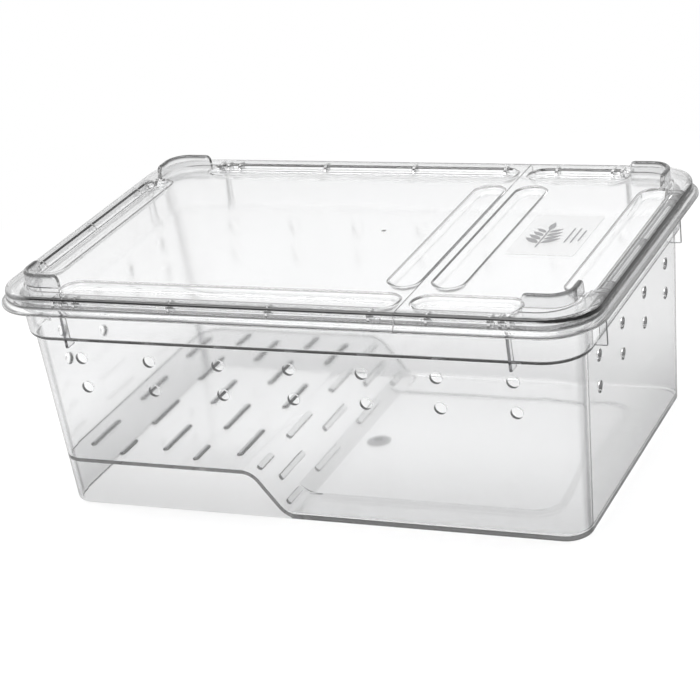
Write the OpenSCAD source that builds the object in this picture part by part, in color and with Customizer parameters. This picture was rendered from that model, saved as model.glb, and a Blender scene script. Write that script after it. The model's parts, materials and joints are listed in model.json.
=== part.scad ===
// A clear moulded keeper for small animals: a tub with a raised basking ledge and a ramp, a large lid,
// a smaller feeding lid beside it, and a film label on the feeding lid.
// X runs along the tub, the ramp comes down towards +X, and +Z is up.
// The origin is the middle of the tub's footprint, on the surface that it stands on.

/* [Tub] */
// Length of the tub where it stands
base_l = 284; // [270:1:330]
// Width of the tub where it stands
base_w = 172; // [160:1:210]
// Corner radius of the tub where it stands
base_r = 12.5; // [10:0.5:16]
// Height from the standing face to the top of the rim
tub_h = 117.2; // [108:0.4:150]
// Wall thickness of the tub
wall = 2; // [1.6:0.1:2.6]
// Thickness of the floor, the ramp and the ledge
floor_t = 2.2; // [1.6:0.1:3]
// Outward lean of the walls in degrees
draft = 3.4; // [2:0.2:4]

/* [Rim] */
// Height at which the wall steps out into the collar
collar_z = 97.2; // [90:0.4:98]
// How far the collar stands outside the wall
collar_step = 2.6; // [2.2:0.1:3.4]
// How far the rim's flange stands outside the collar
flange_reach = 3.8; // [3:0.1:5]
// Thickness of the flange
flange_t = 2; // [1.5:0.1:3]
// Distance of the nesting fins from the middle of the long walls
fin_x = 118; // [100:1:120]
// Distance of the nesting fins from the middle of the short walls
fin_y = 64; // [50:1:66]
// Thickness of a nesting fin
fin_t = 1.6; // [1.2:0.1:2.4]
// How far the nesting fins reach below the collar's step
fin_drop = 2.4; // [1:0.2:5]

/* [Ledge and ramp] */
// Height of the ledge's upper face
ledge_h = 26.6; // [20:0.4:34]
// Place along X where the level ledge ends and the ramp starts
ledge_end = -38; // [-50:1:-34]
// Steepest slope of the ramp in degrees
ramp_angle = 56; // [45:1:60]
// Radius of the ramp's crest and toe, on the upper face
ramp_r = 12; // [9:0.5:14]
// Length of a long tread rib
tread_l = 30; // [24:1:32]
// Length of the short tread ribs beside the walls
tread_short = 17; // [10:1:18]
// Distance between the short tread ribs and the wall's foot
tread_wall_gap = 7; // [5:0.5:10]
// Width of a tread rib
tread_w = 3.4; // [2.6:0.2:5]
// Height of a tread rib above the surface
tread_h = 1.2; // [0.8:0.1:2]
// Distance between rows of tread ribs on the ledge
tread_pitch = 21.4; // [18:0.2:23]
// Distance along Y between long ribs of one row
tread_step = 56; // [50:1:56]
// Distance between the ledge's end and the nearest row on either side of it
tread_inset = 7.5; // [5:0.5:9]
// Distance between rows of tread ribs down the ramp
ramp_pitch = 11.4; // [9:0.2:12]

/* [Floor panel] */
// Height of the step between the floor's border and its middle panel
panel_step = 1; // [0.5:0.1:1.4]
// Width of the floor's border round the panel
panel_border = 23; // [16:1:30]
// Corner radius of the panel
panel_r = 12; // [6:1:18]
// Diameter of the round gate mark in the middle of the floor
gate_d = 14; // [8:1:18]

/* [Vents] */
// Diameter of an air hole
vent_d = 6.4; // [4:0.2:8]
// Distance between air holes along the long walls
vent_pitch_l = 38.5; // [34:0.5:40]
// Distance between air holes along the short walls
vent_pitch_w = 37.8; // [32:0.2:44]
// Air holes in each row of a long wall
vents_long = 7; // [3:1:7]
// Air holes in each row of a short wall
vents_short = 4; // [2:1:4]
// Height of the lower row of air holes
vent_low_z = 69.8; // [60:0.2:72]
// Height between the two rows of air holes
vent_rise = 16.4; // [12:0.2:18]

/* [Lids] */
// Height of the lids' top face above the tub's rim
lid_rise = 6; // [5.4:0.1:9]
// Thickness of the lids' plate
plate_t = 2; // [1.5:0.1:2.4]
// Thickness of the lids' skirt
skirt_t = 1.8; // [1.2:0.1:2.4]
// Gap between the flange and the skirt
skirt_gap = 0.4; // [0.3:0.1:1]
// Height of the skirt's upright part
skirt_upright = 5; // [4:0.2:6]
// Height of the skirt from the top face to its lower edge
skirt_h = 8.9; // [8:0.1:12]
// How far the skirt flares out below its upright part
skirt_flare = 2.8; // [1:0.2:4]
// Corner radius of the lids, seen from above
lid_r = 25; // [22:0.5:27]
// Radius of the round along the lids' top edge
edge_r = 2; // [0.6:0.1:3]
// Place of the seam between the two lids along X
seam_x = 64; // [50:1:68]
// Gap between the two lids at the seam
seam_gap = 0.5; // [0.3:0.1:1.5]
// Gap between the lids' ribs and the top of the rim that they stand on
seat_gap = 0.05; // [0.02:0.01:0.2]

/* [Lid inner wall] */
// Thickness of the wall that centres the lids inside the rim
plug_t = 1.6; // [1.2:0.1:2.2]
// How far that wall reaches below the top of the rim
plug_drop = 2.9; // [2:0.1:6]
// Gap between that wall and the inside of the collar
plug_gap = 0.4; // [0.3:0.1:1]
// Distance from the seam at which that wall stops
plug_stop = 10.6; // [6:0.2:16]
// Thickness of a seating rib between that wall and the skirt
gusset_t = 1.5; // [1:0.1:2.4]
// Distance between the pair of seating ribs beside a nesting fin
gusset_pair = 4.4; // [4:0.2:8]
// Distance between the large lid's seating ribs
gusset_pitch = 53; // [46:1:54]
// Distance from the seam to the large lid's nearest seating rib
gusset_seam_main = 13.5; // [13:0.5:20]
// Distance from the seam to the feeding lid's nearest seating rib
gusset_seam_feed = 15.5; // [13:0.5:20]
// Distance between the feeding lid's seating ribs
gusset_pitch_feed = 31; // [20:1:32]

/* [Stiffening grooves] */
// Width of a stiffening groove
groove_w = 14.4; // [12:0.2:15]
// Depth of a stiffening groove
groove_d = 3.2; // [2:0.1:3.2]
// Distance of the grooves' outer edge from the edge of the lid along the long sides
groove_in_y = 9; // [8:0.2:11]
// Distance of the grooves' outer edge from the edge of the lid along the short sides
groove_in_x = 7; // [6.5:0.1:11]
// Length of the grooves that run across the lids
groove_l = 133; // [100:1:134]
// Distance of the long grooves' outer ends from the end of the lid
groove_end = 36.5; // [34:0.5:40]
// Distance from the seam to the ends of the long grooves
groove_seam = 4.4; // [3:0.2:8]
// Distance from the seam to the large lid's cross groove
groove_seam_main = 3; // [2.6:0.1:6]
// Distance from the seam to the feeding lid's cross groove
groove_seam_feed = 5.6; // [3:0.1:9]

/* [Stacking corners] */
// Height of the raised corners that hold a tub stacked on top
stack_h = 7; // [4:0.5:10]
// Thickness of the raised corners
stack_t = 2.4; // [1.8:0.1:3.2]
// Gap between the raised corners and the ends of a stacked tub
stack_gap_l = 2.2; // [0.5:0.1:3]
// Gap between the raised corners and the sides of a stacked tub
stack_gap_w = 0.4; // [0.3:0.1:1.5]
// Corner radius inside the raised corners
stack_r = 9; // [5:0.5:11]
// Length of a raised corner's arm along X
stack_arm_x = 24; // [15:1:24]
// Length of a raised corner's arm along Y
stack_arm_y = 21; // [15:1:21]

/* [Label] */
// Size of the film label along X
label_l = 35.4; // [24:0.2:40]
// Size of the film label along Y
label_w = 52; // [30:1:80]
// Thickness of the film label
label_t = 0.3; // [0.2:0.05:0.5]
// Corner radius of the film label
label_r = 1.5; // [0.5:0.5:4]

/* [Hidden] */
$fn = 64;
// Overlap that joins one solid to the next, and overcut of a cutter
weld = 0.4;

// How far a wall has leaned out at a height
function lean(z) = z * tan(draft);

// Tub, as distances outside the outline that it stands on
collar_u = lean(tub_h) + collar_step;
flange_u = collar_u + flange_reach;
flange_low = tub_h - flange_t;
fin_low = collar_z - fin_drop;

// Lids
lid_top = tub_h + lid_rise;
plate_low = lid_top - plate_t;
lid_u = flange_u + skirt_gap + skirt_t;
lid_l = base_l + 2 * lid_u;
lid_w = base_w + 2 * lid_u;
plate_inset = max(edge_r, skirt_t) + weld / 2;
skirt_low = lid_top - skirt_h;
flare_low = skirt_low + skirt_t / 2;
plug_low = tub_h - plug_drop;
plug_u = lean(plug_low) + collar_step - wall - plug_gap;
rib_low = tub_h + seat_gap;
groove_x = lid_l / 2 - groove_in_x - groove_w / 2;
groove_y = lid_w / 2 - groove_in_y - groove_w / 2;
feed_groove_x = seam_x + groove_seam_feed + groove_w / 2;
main_groove_x = seam_x - groove_seam_main - groove_w / 2;
label_x = (feed_groove_x + groove_x) / 2;

// Ramp: arc lengths of its crest, its straight and its toe, on the upper face
ledge_drop = ledge_h - floor_t;
arc_len = ramp_r * ramp_angle * PI / 180;
straight_len = (ledge_drop - 2 * ramp_r * (1 - cos(ramp_angle))) / sin(ramp_angle);
ramp_run = 2 * ramp_r * sin(ramp_angle) + straight_len * cos(ramp_angle);
ramp_toe = ledge_end + ramp_run;
ARC_STEPS = 8;
EDGE_STEPS = 4;
LEDGE_ROWS = 5;
RAMP_ROWS = 3;

// Points of the ramp's upper face, shifted square to the face by d, from crest to toe
function crest_points(d) = [for (i = [0 : ARC_STEPS])
    let (a = ramp_angle * i / ARC_STEPS)
    [ledge_end + (ramp_r + d) * sin(a), ledge_h - ramp_r + (ramp_r + d) * cos(a)]];
function toe_points(d) = [for (i = [ARC_STEPS : -1 : 0])
    let (a = ramp_angle * i / ARC_STEPS)
    [ramp_toe - (ramp_r - d) * sin(a), floor_t + ramp_r - (ramp_r - d) * cos(a)]];
function ramp_points(d) = concat(crest_points(d), toe_points(d));

// Place and slope on the ramp's upper face at an arc length s from its crest
function ramp_at(s) =
    s < arc_len
    ? let (a = s / ramp_r * 180 / PI)
      [ledge_end + ramp_r * sin(a), ledge_h - ramp_r * (1 - cos(a)), a]
    : s < arc_len + straight_len
    ? [ledge_end + ramp_r * sin(ramp_angle) + (s - arc_len) * cos(ramp_angle),
       ledge_h - ramp_r * (1 - cos(ramp_angle)) - (s - arc_len) * sin(ramp_angle), ramp_angle]
    : let (a = (2 * arc_len + straight_len - s) / ramp_r * 180 / PI)
      [ramp_toe - ramp_r * sin(a), floor_t + ramp_r * (1 - cos(a)), a];

// ---------------------------------------------------------------- shared shapes

// A rectangle with round corners, centred on the origin
module rounded(l, w, r) {
    square([l - 2 * r, w], center = true);
    square([l, w - 2 * r], center = true);
    for (x = [-1, 1], y = [-1, 1])
        translate([x * (l / 2 - r), y * (w / 2 - r)])
            circle(r);
}

module rounded_plate(l, w, r, z, t) {
    translate([0, 0, z])
        linear_extrude(t)
            rounded(l, w, r);
}

// Sweeps a section round a rounded rectangle: the section's x is the distance outside the
// rectangle and its y is the height
module swept(l, w, r) {
    for (side = [0, 180]) {
        rotate(side)
            translate([-l / 2 + r, -w / 2, 0])
                rotate([90, 0, 90])
                    linear_extrude(l - 2 * r)
                        mirror([1, 0])
                            children();
        rotate(side)
            translate([l / 2, -w / 2 + r, 0])
                rotate([90, 0, 180])
                    linear_extrude(w - 2 * r)
                        mirror([1, 0])
                            children();
    }
    for (corner = [[1, 1, 0], [-1, 1, 90], [-1, -1, 180], [1, -1, 270]])
        translate([corner.x * (l / 2 - r), corner.y * (w / 2 - r), 0])
            rotate(corner.z)
                rotate_extrude(angle = 90)
                    translate([r, 0])
                        children();
}

// The tub's outside as a full solid, moved out by u, between two heights
module tub_solid(u, low, high) {
    swept(base_l, base_w, base_r)
        polygon([[-base_r, low], [u + lean(low), low], [u + lean(high), high], [-base_r, high]]);
    translate([-base_l / 2 + base_r, -base_w / 2 + base_r, low])
        cube([base_l - 2 * base_r, base_w - 2 * base_r, high - low]);
}

// ---------------------------------------------------------------- tub

// Everything above the floor, the ramp and the ledge, seen from the side
module above_floor() {
    reach = base_l;
    rotate([90, 0, 0])
        linear_extrude(2 * base_w, center = true)
            polygon(concat([[-reach, ledge_h]], ramp_points(0), [[reach, floor_t], [reach, 2 * tub_h],
                [-reach, 2 * tub_h]]));
}

// Everything under the ledge and the ramp
module below_ledge() {
    low = -weld;
    reach = base_l;
    under = [for (p = ramp_points(-floor_t)) if (p.y > low) p];
    rotate([90, 0, 0])
        linear_extrude(2 * base_w, center = true)
            polygon(concat([[-reach, low], [-reach, ledge_h - floor_t]], under,
                [[under[len(under) - 1].x, low]]));
}

module tread(length) {
    linear_extrude(tread_h + weld)
        rounded(tread_w, length, tread_w * 0.32);
}

// One row of tread ribs: three long ones, or two long ones with a short one beside each wall
module tread_row(odd) {
    short_y = base_w / 2 - tread_wall_gap - tread_short / 2;
    if (odd)
        for (i = [-1 : 1])
            translate([0, i * tread_step, 0])
                tread(tread_l);
    else
        for (side = [-1, 1]) {
            translate([0, side * tread_step / 2, 0])
                tread(tread_l);
            translate([0, side * short_y, 0])
                tread(tread_short);
        }
}

module treads() {
    for (i = [0 : LEDGE_ROWS - 1])
        translate([ledge_end - tread_inset - i * tread_pitch, 0, ledge_h - weld])
            tread_row(i % 2 == 0);
    for (i = [0 : RAMP_ROWS - 1]) {
        at = ramp_at(tread_inset + i * ramp_pitch);
        translate([at.x, 0, at.y])
            rotate([0, at.z, 0])
                translate([0, 0, -weld])
                    tread_row(i % 2 == 1);
    }
}

// The air holes of all four walls
module vents() {
    deep = 2 * (lean(tub_h) + wall);
    for (z = [vent_low_z, vent_low_z + vent_rise]) {
        for (i = [0 : vents_long - 1], side = [-1, 1])
            translate([(i - (vents_long - 1) / 2) * vent_pitch_l, side * base_w / 2, z])
                rotate([90, 0, 0])
                    cylinder(h = 2 * deep, d = vent_d, center = true);
        for (i = [0 : vents_short - 1], side = [-1, 1])
            translate([side * base_l / 2, (i - (vents_short - 1) / 2) * vent_pitch_w, z])
                rotate([0, 90, 0])
                    cylinder(h = 2 * deep, d = vent_d, center = true);
    }
}

// Side view of a nesting fin: x is the distance outside the standing outline
module fin_section() {
    polygon([[lean(fin_low) - wall / 2, fin_low], [flange_u - 0.4 - lean(tub_h - fin_low), fin_low],
        [flange_u - 0.4, flange_low + weld], [collar_u - wall / 2, flange_low + weld]]);
}

module fins() {
    for (x = [-fin_x, fin_x], side = [-1, 1])
        translate([x + fin_t / 2, side * base_w / 2, 0])
            rotate([90, 0, -90])
                linear_extrude(fin_t)
                    mirror([side > 0 ? 1 : 0, 0])
                        fin_section();
    for (y = [-fin_y, fin_y], side = [-1, 1])
        translate([side * base_l / 2, y + fin_t / 2, 0])
            rotate([90, 0, 0])
                linear_extrude(fin_t)
                    mirror([side > 0 ? 0 : 1, 0])
                        fin_section();
}

// The floor's middle panel: a low step up from the border, the same above and below
module floor_panel(grow, z, t) {
    right = base_l / 2 - panel_border;
    left = ramp_toe - ramp_r;
    translate([(left + right) / 2, 0, 0])
        rounded_plate(right - left + 2 * grow, base_w - 2 * panel_border + 2 * grow, panel_r + grow, z, t);
}

module tub() {
    color("gainsboro")
        difference() {
            union() {
                difference() {
                    union() {
                        tub_solid(0, 0, tub_h);
                        tub_solid(collar_step, collar_z, tub_h);
                        tub_solid(flange_u - lean(tub_h), flange_low, tub_h);
                        fins();
                    }
                    intersection() {
                        tub_solid(-wall, 0, collar_z + wall);
                        above_floor();
                    }
                    tub_solid(collar_step - wall, collar_z + wall, tub_h + weld);
                }
                treads();
                floor_panel(0, floor_t / 2, floor_t / 2 + panel_step);
            }
            intersection() {
                tub_solid(-wall, -weld, ledge_h);
                below_ledge();
            }
            vents();
            floor_panel(-floor_t / 2, -weld, weld + panel_step);
            translate([0, 0, floor_t + panel_step - 0.3])
                cylinder(h = 1, d = gate_d);
        }
}

// ---------------------------------------------------------------- lids

// A groove's outline: straight sides and round ends
module groove_outline(l, w) {
    square([l - w, w], center = true);
    for (side = [-1, 1])
        translate([side * (l - w) / 2, 0])
            circle(d = w);
}

// The outlines of both lids' grooves, in their places, made longer by grow
module at_grooves(shape_w, grow) {
    long_low = -lid_l / 2 + groove_end;
    long_high = lid_l / 2 - groove_end;
    main_l = seam_x - groove_seam - long_low;
    feed_l = long_high - seam_x - groove_seam;
    for (side = [-1, 1]) {
        translate([long_low + main_l / 2, side * groove_y])
            groove_outline(main_l + grow, shape_w);
        translate([long_high - feed_l / 2, side * groove_y])
            groove_outline(feed_l + grow, shape_w);
    }
    for (x = [-groove_x, main_groove_x, feed_groove_x, groove_x])
        translate([x, 0])
            rotate(90)
                groove_outline(groove_l + grow, shape_w);
}

// The lid's edge: the round along the top, the upright skirt and its flared foot
module skirt_section() {
    edge = [for (i = [0 : EDGE_STEPS])
        let (a = 90 * i / EDGE_STEPS)
        [edge_r * (sin(a) - 1), lid_top + edge_r * (cos(a) - 1)]];
    polygon(concat(edge, [[0, lid_top - skirt_upright], [skirt_flare, flare_low], [skirt_flare, skirt_low],
        [skirt_flare - skirt_t, skirt_low], [skirt_flare - skirt_t, flare_low],
        [-skirt_t, lid_top - skirt_upright], [-skirt_t, plate_low], [-plate_inset - weld, plate_low],
        [-plate_inset - weld, lid_top]]));
}

// A seating rib, seen along the wall: it reaches from the inner wall to the skirt
module gusset(t) {
    inner = plug_u - plug_t / 2;
    outer = lid_u - skirt_t / 2;
    translate([-t / 2, base_w / 2 + inner, rib_low])
        cube([t, outer - inner, lid_top - plate_t / 2 - rib_low]);
}

module gusset_long() {
    main_places = [for (i = [0 : 3]) seam_x - gusset_seam_main - i * gusset_pitch];
    feed_places = [for (i = [0 : 1]) seam_x + gusset_seam_feed + i * gusset_pitch_feed];
    pairs = [for (x = [-fin_x, fin_x], side = [-1, 1]) x + side * gusset_pair / 2];
    for (x = concat(main_places, feed_places, pairs), side = [0, 1])
        mirror([0, side, 0])
            translate([x, 0, 0])
                gusset(gusset_t);
}

module gusset_short() {
    pairs = [for (y = [-fin_y, fin_y], side = [-1, 1]) y + side * gusset_pair / 2];
    places = concat([-gusset_pitch, 0, gusset_pitch], pairs);
    for (y = places, side = [0, 1])
        mirror([side, 0, 0])
            translate([(base_l - base_w) / 2, y, 0])
                rotate(-90)
                    gusset(gusset_t);
}

// The inner wall that drops into the collar
module plug() {
    difference() {
        rounded_plate(base_l + 2 * plug_u, base_w + 2 * plug_u, base_r + plug_u, plug_low,
            plate_low + weld - plug_low);
        rounded_plate(base_l + 2 * (plug_u - plug_t), base_w + 2 * (plug_u - plug_t),
            base_r + plug_u - plug_t, plug_low - weld, lid_top - plug_low);
        translate([seam_x - plug_stop, -lid_w / 2, 0])
            cube([2 * plug_stop, lid_w, plate_low]);
    }
}

// The four raised corners that centre a stacked tub
module stacking_corners() {
    half_l = base_l / 2 + stack_gap_l;
    half_w = base_w / 2 + stack_gap_w;
    z = lid_top - weld;
    t = stack_h + weld;
    intersection() {
        difference() {
            rounded_plate(2 * (half_l + stack_t), 2 * (half_w + stack_t), stack_r + stack_t, z, t);
            rounded_plate(2 * half_l, 2 * half_w, stack_r, z - 1, t + 2);
        }
        for (x = [-1, 1], y = [-1, 1])
            translate([x * (half_l + stack_t - stack_arm_x / 2), y * (half_w + stack_t - stack_arm_y / 2), z])
                linear_extrude(t)
                    square([stack_arm_x, stack_arm_y], center = true);
    }
}

// Both lids as if they were one moulding
module lid_blank() {
    difference() {
        union() {
            rounded_plate(lid_l - 2 * plate_inset, lid_w - 2 * plate_inset, lid_r - plate_inset,
                plate_low, plate_t);
            swept(lid_l, lid_w, lid_r)
                skirt_section();
            translate([0, 0, plate_low - groove_d])
                linear_extrude(groove_d + weld)
                    at_grooves(groove_w + 2 * plate_t, 2 * plate_t);
            plug();
            gusset_long();
            gusset_short();
            stacking_corners();
        }
        translate([0, 0, lid_top - groove_d])
            linear_extrude(groove_d + weld)
                at_grooves(groove_w, 0);
    }
}

module lid_half(low_x, high_x) {
    intersection() {
        lid_blank();
        translate([low_x, -lid_w, 0])
            cube([high_x - low_x, 2 * lid_w, 2 * lid_top]);
    }
}

module main_lid() {
    color("whitesmoke")
        lid_half(-lid_l, seam_x - seam_gap / 2);
}

module feeding_lid() {
    color("whitesmoke")
        lid_half(seam_x + seam_gap / 2, lid_l);
}

module film_label() {
    color("darkgray")
        translate([label_x, 0, 0])
            rounded_plate(label_l, label_w, label_r, lid_top, label_t);
}

tub();
main_lid();
feeding_lid();
film_label();
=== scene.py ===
"""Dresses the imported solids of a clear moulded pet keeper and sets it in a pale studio.

The keeper is three mouldings and a film label. Each moulding is rebuilt here from the same sizes as its
solid, with the rounds, fillets and sloping ends of the real one, as one closed mesh. Lengths are in
millimetres until a mesh is finished, and the finished meshes are in metres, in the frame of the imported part.
"""

import json
import logging
import math
from dataclasses import dataclass, field
from enum import Enum
from typing import Callable, Iterable, Mapping, Sequence

import bmesh
import bpy
from mathutils import Matrix, Vector

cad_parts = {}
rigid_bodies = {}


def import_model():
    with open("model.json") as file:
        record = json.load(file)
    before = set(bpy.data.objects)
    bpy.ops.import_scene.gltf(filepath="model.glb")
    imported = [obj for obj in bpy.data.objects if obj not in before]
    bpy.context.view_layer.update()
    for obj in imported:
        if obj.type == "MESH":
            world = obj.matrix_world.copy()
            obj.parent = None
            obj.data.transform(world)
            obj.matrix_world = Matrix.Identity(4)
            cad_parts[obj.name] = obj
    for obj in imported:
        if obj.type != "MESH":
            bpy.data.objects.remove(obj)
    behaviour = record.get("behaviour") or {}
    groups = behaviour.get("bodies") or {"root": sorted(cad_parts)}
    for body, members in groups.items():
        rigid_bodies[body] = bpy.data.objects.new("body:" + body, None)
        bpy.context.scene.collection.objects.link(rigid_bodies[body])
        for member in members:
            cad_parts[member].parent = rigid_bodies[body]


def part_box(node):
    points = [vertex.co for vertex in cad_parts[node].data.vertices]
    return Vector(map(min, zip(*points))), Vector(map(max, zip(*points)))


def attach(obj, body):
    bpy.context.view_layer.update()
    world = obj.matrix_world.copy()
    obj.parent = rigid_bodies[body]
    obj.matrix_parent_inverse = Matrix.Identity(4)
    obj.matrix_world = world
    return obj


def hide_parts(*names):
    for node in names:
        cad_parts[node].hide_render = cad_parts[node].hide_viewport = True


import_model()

MM = 0.001
PHOTO_SIZE = 700
# the corner attribute that holds painted shade, from 0 to 1
PAINTED_SHADE = "tone"
SLACK = 0.1  # how far a face may lie from where it belongs and still get its tone, in millimetres
HAIR = 0.002  # keeps faces that lie right on a level out of what is below it, in millimetres
LOG = logging.getLogger("keeper")

Colour = tuple[float, float, float, float]
Place = tuple[float, float, float]
Span = tuple[float, float]
Profile = list[tuple[float, float]]
Mesh = bmesh.types.BMesh
Piece = bpy.types.Object
Socket = bpy.types.NodeSocket


# ------------------------------------------------------------------ options


class Cut(Enum):
    """How one closed mesh changes another."""

    JOIN = "UNION"
    REMOVE = "DIFFERENCE"
    KEEP = "INTERSECT"


class Pattern(Enum):
    """What a grid of copies does to the piece that it is made for."""

    COPIES = "copies"
    HOLES = "holes"


class Side(Enum):
    """Which of the two lids is meant."""

    MAIN = "main_lid"
    FEEDING = "feeding_lid"


# ------------------------------------------------------------------ outlines and profiles


def arc(centre: tuple[float, float], radius: float, start: float, end: float, steps: int) -> Profile:
    """Gives points along an arc of a profile.

    Args:
        centre: The arc's centre.
        radius: Its radius.
        start: The angle of its first point in degrees, from the first axis.
        end: The angle of its last point in degrees.
        steps: How many straight pieces stand for it.

    Returns:
        The arc's points in order.
    """
    angles = [math.radians(start + (end - start) * i / steps) for i in range(steps + 1)]
    return [(centre[0] + radius * math.cos(a), centre[1] + radius * math.sin(a)) for a in angles]


@dataclass(frozen=True)
class Outline:
    """A rectangle with round corners, centred on the origin and seen from above."""

    length: float
    width: float
    radius: float
    corner_steps: int = 20
    least_radius: float = 0.05

    def ring(self, out: float, height: float) -> list[Vector]:
        """Gives the outline moved outwards by a distance, at a height.

        Args:
            out: How far outside the outline the ring lies.
            height: The ring's height.

        Returns:
            The ring's points, anticlockwise from above, as many at any distance.
        """
        radius = max(self.radius + out, self.least_radius)
        points = []
        for quarter, (sx, sy) in enumerate([(1, 1), (-1, 1), (-1, -1), (1, -1)]):
            cx = sx * (self.length / 2 + out - radius)
            cy = sy * (self.width / 2 + out - radius)
            for i in range(self.corner_steps + 1):
                angle = math.radians(90 * (quarter + i / self.corner_steps))
                points.append(Vector((cx + radius * math.cos(angle), cy + radius * math.sin(angle), height)))
        return points

    def solid(self, profile: Profile, ring_closed: bool = False) -> Mesh:
        """Gives the solid whose rings lie at a profile's distances out and heights."""
        return loft([self.ring(out, height) for out, height in profile], ring_closed)

    def _past(self, x: float, y: float) -> tuple[float, float]:
        """Gives how far a point lies past the start of the corners' rounds, along X and along Y."""
        return abs(x) - (self.length / 2 - self.radius), abs(y) - (self.width / 2 - self.radius)

    def beyond(self, x: float, y: float) -> float:
        """Gives how far a point lies outside the outline, and less than 0 inside it."""
        dx, dy = self._past(x, y)
        return (math.hypot(dx, dy) if dx > 0 and dy > 0 else max(dx, dy)) - self.radius

    def endwise(self, x: float, y: float) -> float:
        """Gives how far a point faces a short side.

        Args:
            x: The point's place along X.
            y: The point's place along Y.

        Returns:
            1 beside a short side, 0 beside a long one, and what lies between round a corner.
        """
        dx, dy = self._past(x, y)
        if dx > 0 and dy > 0:
            return 1 - math.atan2(dy, dx) / (math.pi / 2)
        return 1.0 if dx > dy else 0.0


def loft(rings: Sequence[Sequence[Vector]], ring_closed: bool = False, weld: float = 1e-5) -> Mesh:
    """Joins rings of equal length into a closed mesh.

    Args:
        rings: The rings, each a closed loop of points.
        ring_closed: True if the last ring joins the first, so that the solid is itself a ring.
        weld: Points that lie closer than this become one.

    Returns:
        The mesh, with a flat cap on the first and the last ring unless it is a ring.
    """
    bm = bmesh.new()
    rows = [[bm.verts.new(p) for p in ring] for ring in rings]
    pairs = list(zip(rows, rows[1:])) + ([(rows[-1], rows[0])] if ring_closed else [])
    for low, high in pairs:
        for i in range(len(low)):
            j = (i + 1) % len(low)
            bm.faces.new((low[i], low[j], high[j], high[i]))
    if not ring_closed:
        bm.faces.new(list(reversed(rows[0])))
        bm.faces.new(rows[-1])
    bmesh.ops.remove_doubles(bm, verts=bm.verts, dist=weld)
    bmesh.ops.recalc_face_normals(bm, faces=bm.faces)
    return bm


def prism(outline: Profile, low: float, high: float) -> Mesh:
    """Gives an outline over X and Z as a solid from one place along Y to another."""
    return loft([[Vector((x, y, z)) for x, z in outline] for y in (low, high)])


def block(low: Sequence[float], high: Sequence[float]) -> Mesh:
    """Gives a box between two corners, for cutting."""
    outline = [(low[0], low[2]), (high[0], low[2]), (high[0], high[2]), (low[0], high[2])]
    return prism(outline, low[1], high[1])


def turned(spots: Profile, steps: int, x: float = 0.0) -> Mesh:
    """Gives a round solid about an upright line.

    Args:
        spots: Its radii and heights, from below to above.
        steps: Straight pieces in each ring.
        x: Where the line stands along X.

    Returns:
        The closed mesh.
    """
    angles = [2 * math.pi * i / steps for i in range(steps)]
    return loft([[Vector((x + r * math.cos(a), r * math.sin(a), z)) for a in angles] for r, z in spots])


def pill(length: float, width: float, profile: Profile, steps: int = 14) -> Mesh:
    """Gives a solid with straight sides and round ends, long along X.

    Args:
        length: The length over the round ends, at a distance out of 0.
        width: The width there.
        profile: The distances out and heights of its rings.
        steps: Straight pieces in each end.

    Returns:
        The closed mesh.
    """
    reach = (length - width) / 2
    angles = [(side, math.radians(180 * i / steps - 90 * side)) for side in (1, -1) for i in range(steps + 1)]
    rings = []
    for out, height in profile:
        radius = width / 2 + out
        rings.append([Vector((side * reach + radius * math.cos(a), radius * math.sin(a), height))
                      for side, a in angles])
    return loft(rings)


# ------------------------------------------------------------------ meshes


def linked(name: str, data: bpy.types.ID) -> Piece:
    """Gives a new object in the scene, with a mesh, a lamp or a camera in it."""
    made = bpy.data.objects.new(name, data)
    bpy.context.scene.collection.objects.link(made)
    return made


def new_object(name: str, bm: Mesh) -> Piece:
    """Turns a mesh in millimetres, which is used up, into a scene object in metres.

    Args:
        name: The object's name.
        bm: The mesh.

    Returns:
        The object.
    """
    bmesh.ops.scale(bm, vec=(MM, MM, MM), verts=bm.verts)
    mesh = bpy.data.meshes.new(name)
    bm.to_mesh(mesh)
    bm.free()
    return linked(name, mesh)


def bmesh_of(made: Piece) -> Mesh:
    """Gives a copy of an object's mesh, in millimetres."""
    bm = bmesh.new()
    bm.from_mesh(made.data)
    bmesh.ops.scale(bm, vec=(1 / MM, 1 / MM, 1 / MM), verts=bm.verts)
    return bm


def moved(bm: Mesh, place: Sequence[float], turn: float = 0.0) -> Mesh:
    """Gives a mesh turned about Z by degrees, then moved."""
    bmesh.ops.rotate(bm, verts=bm.verts, cent=(0, 0, 0), matrix=Matrix.Rotation(math.radians(turn), 3, "Z"))
    bmesh.ops.translate(bm, verts=bm.verts, vec=Vector(place))
    return bm


def gathered(parts: Iterable[Mesh]) -> Mesh:
    """Puts several meshes that don't touch into one.

    Args:
        parts: The meshes, which are used up.

    Returns:
        The whole.
    """
    whole = bmesh.new()
    for part in parts:
        mesh = bpy.data.meshes.new("part")
        part.to_mesh(mesh)
        part.free()
        whole.from_mesh(mesh)
        bpy.data.meshes.remove(mesh)
    return whole


def drop(*used: Piece) -> None:
    """Deletes objects that were only tools."""
    for tool in used:
        mesh = tool.data
        bpy.data.objects.remove(tool)
        bpy.data.meshes.remove(mesh)


def merged(parts: Sequence[Piece]) -> Piece:
    """Puts the meshes of several objects that don't touch into the first of them.

    Args:
        parts: The objects, of which all but the first are used up.

    Returns:
        The first object.
    """
    bm = bmesh.new()
    for part in parts:
        bm.from_mesh(part.data)
    bm.to_mesh(parts[0].data)
    bm.free()
    drop(*parts[1:])
    return parts[0]


def applied(made: Piece) -> Piece:
    """Turns an object's modifiers into plain mesh.

    Args:
        made: The object.

    Returns:
        The same object.
    """
    depsgraph = bpy.context.evaluated_depsgraph_get()
    depsgraph.update()
    mesh = bpy.data.meshes.new_from_object(made.evaluated_get(depsgraph))
    old = made.data
    made.modifiers.clear()
    made.data = mesh
    mesh.name = made.name
    bpy.data.meshes.remove(old)
    return made


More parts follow.
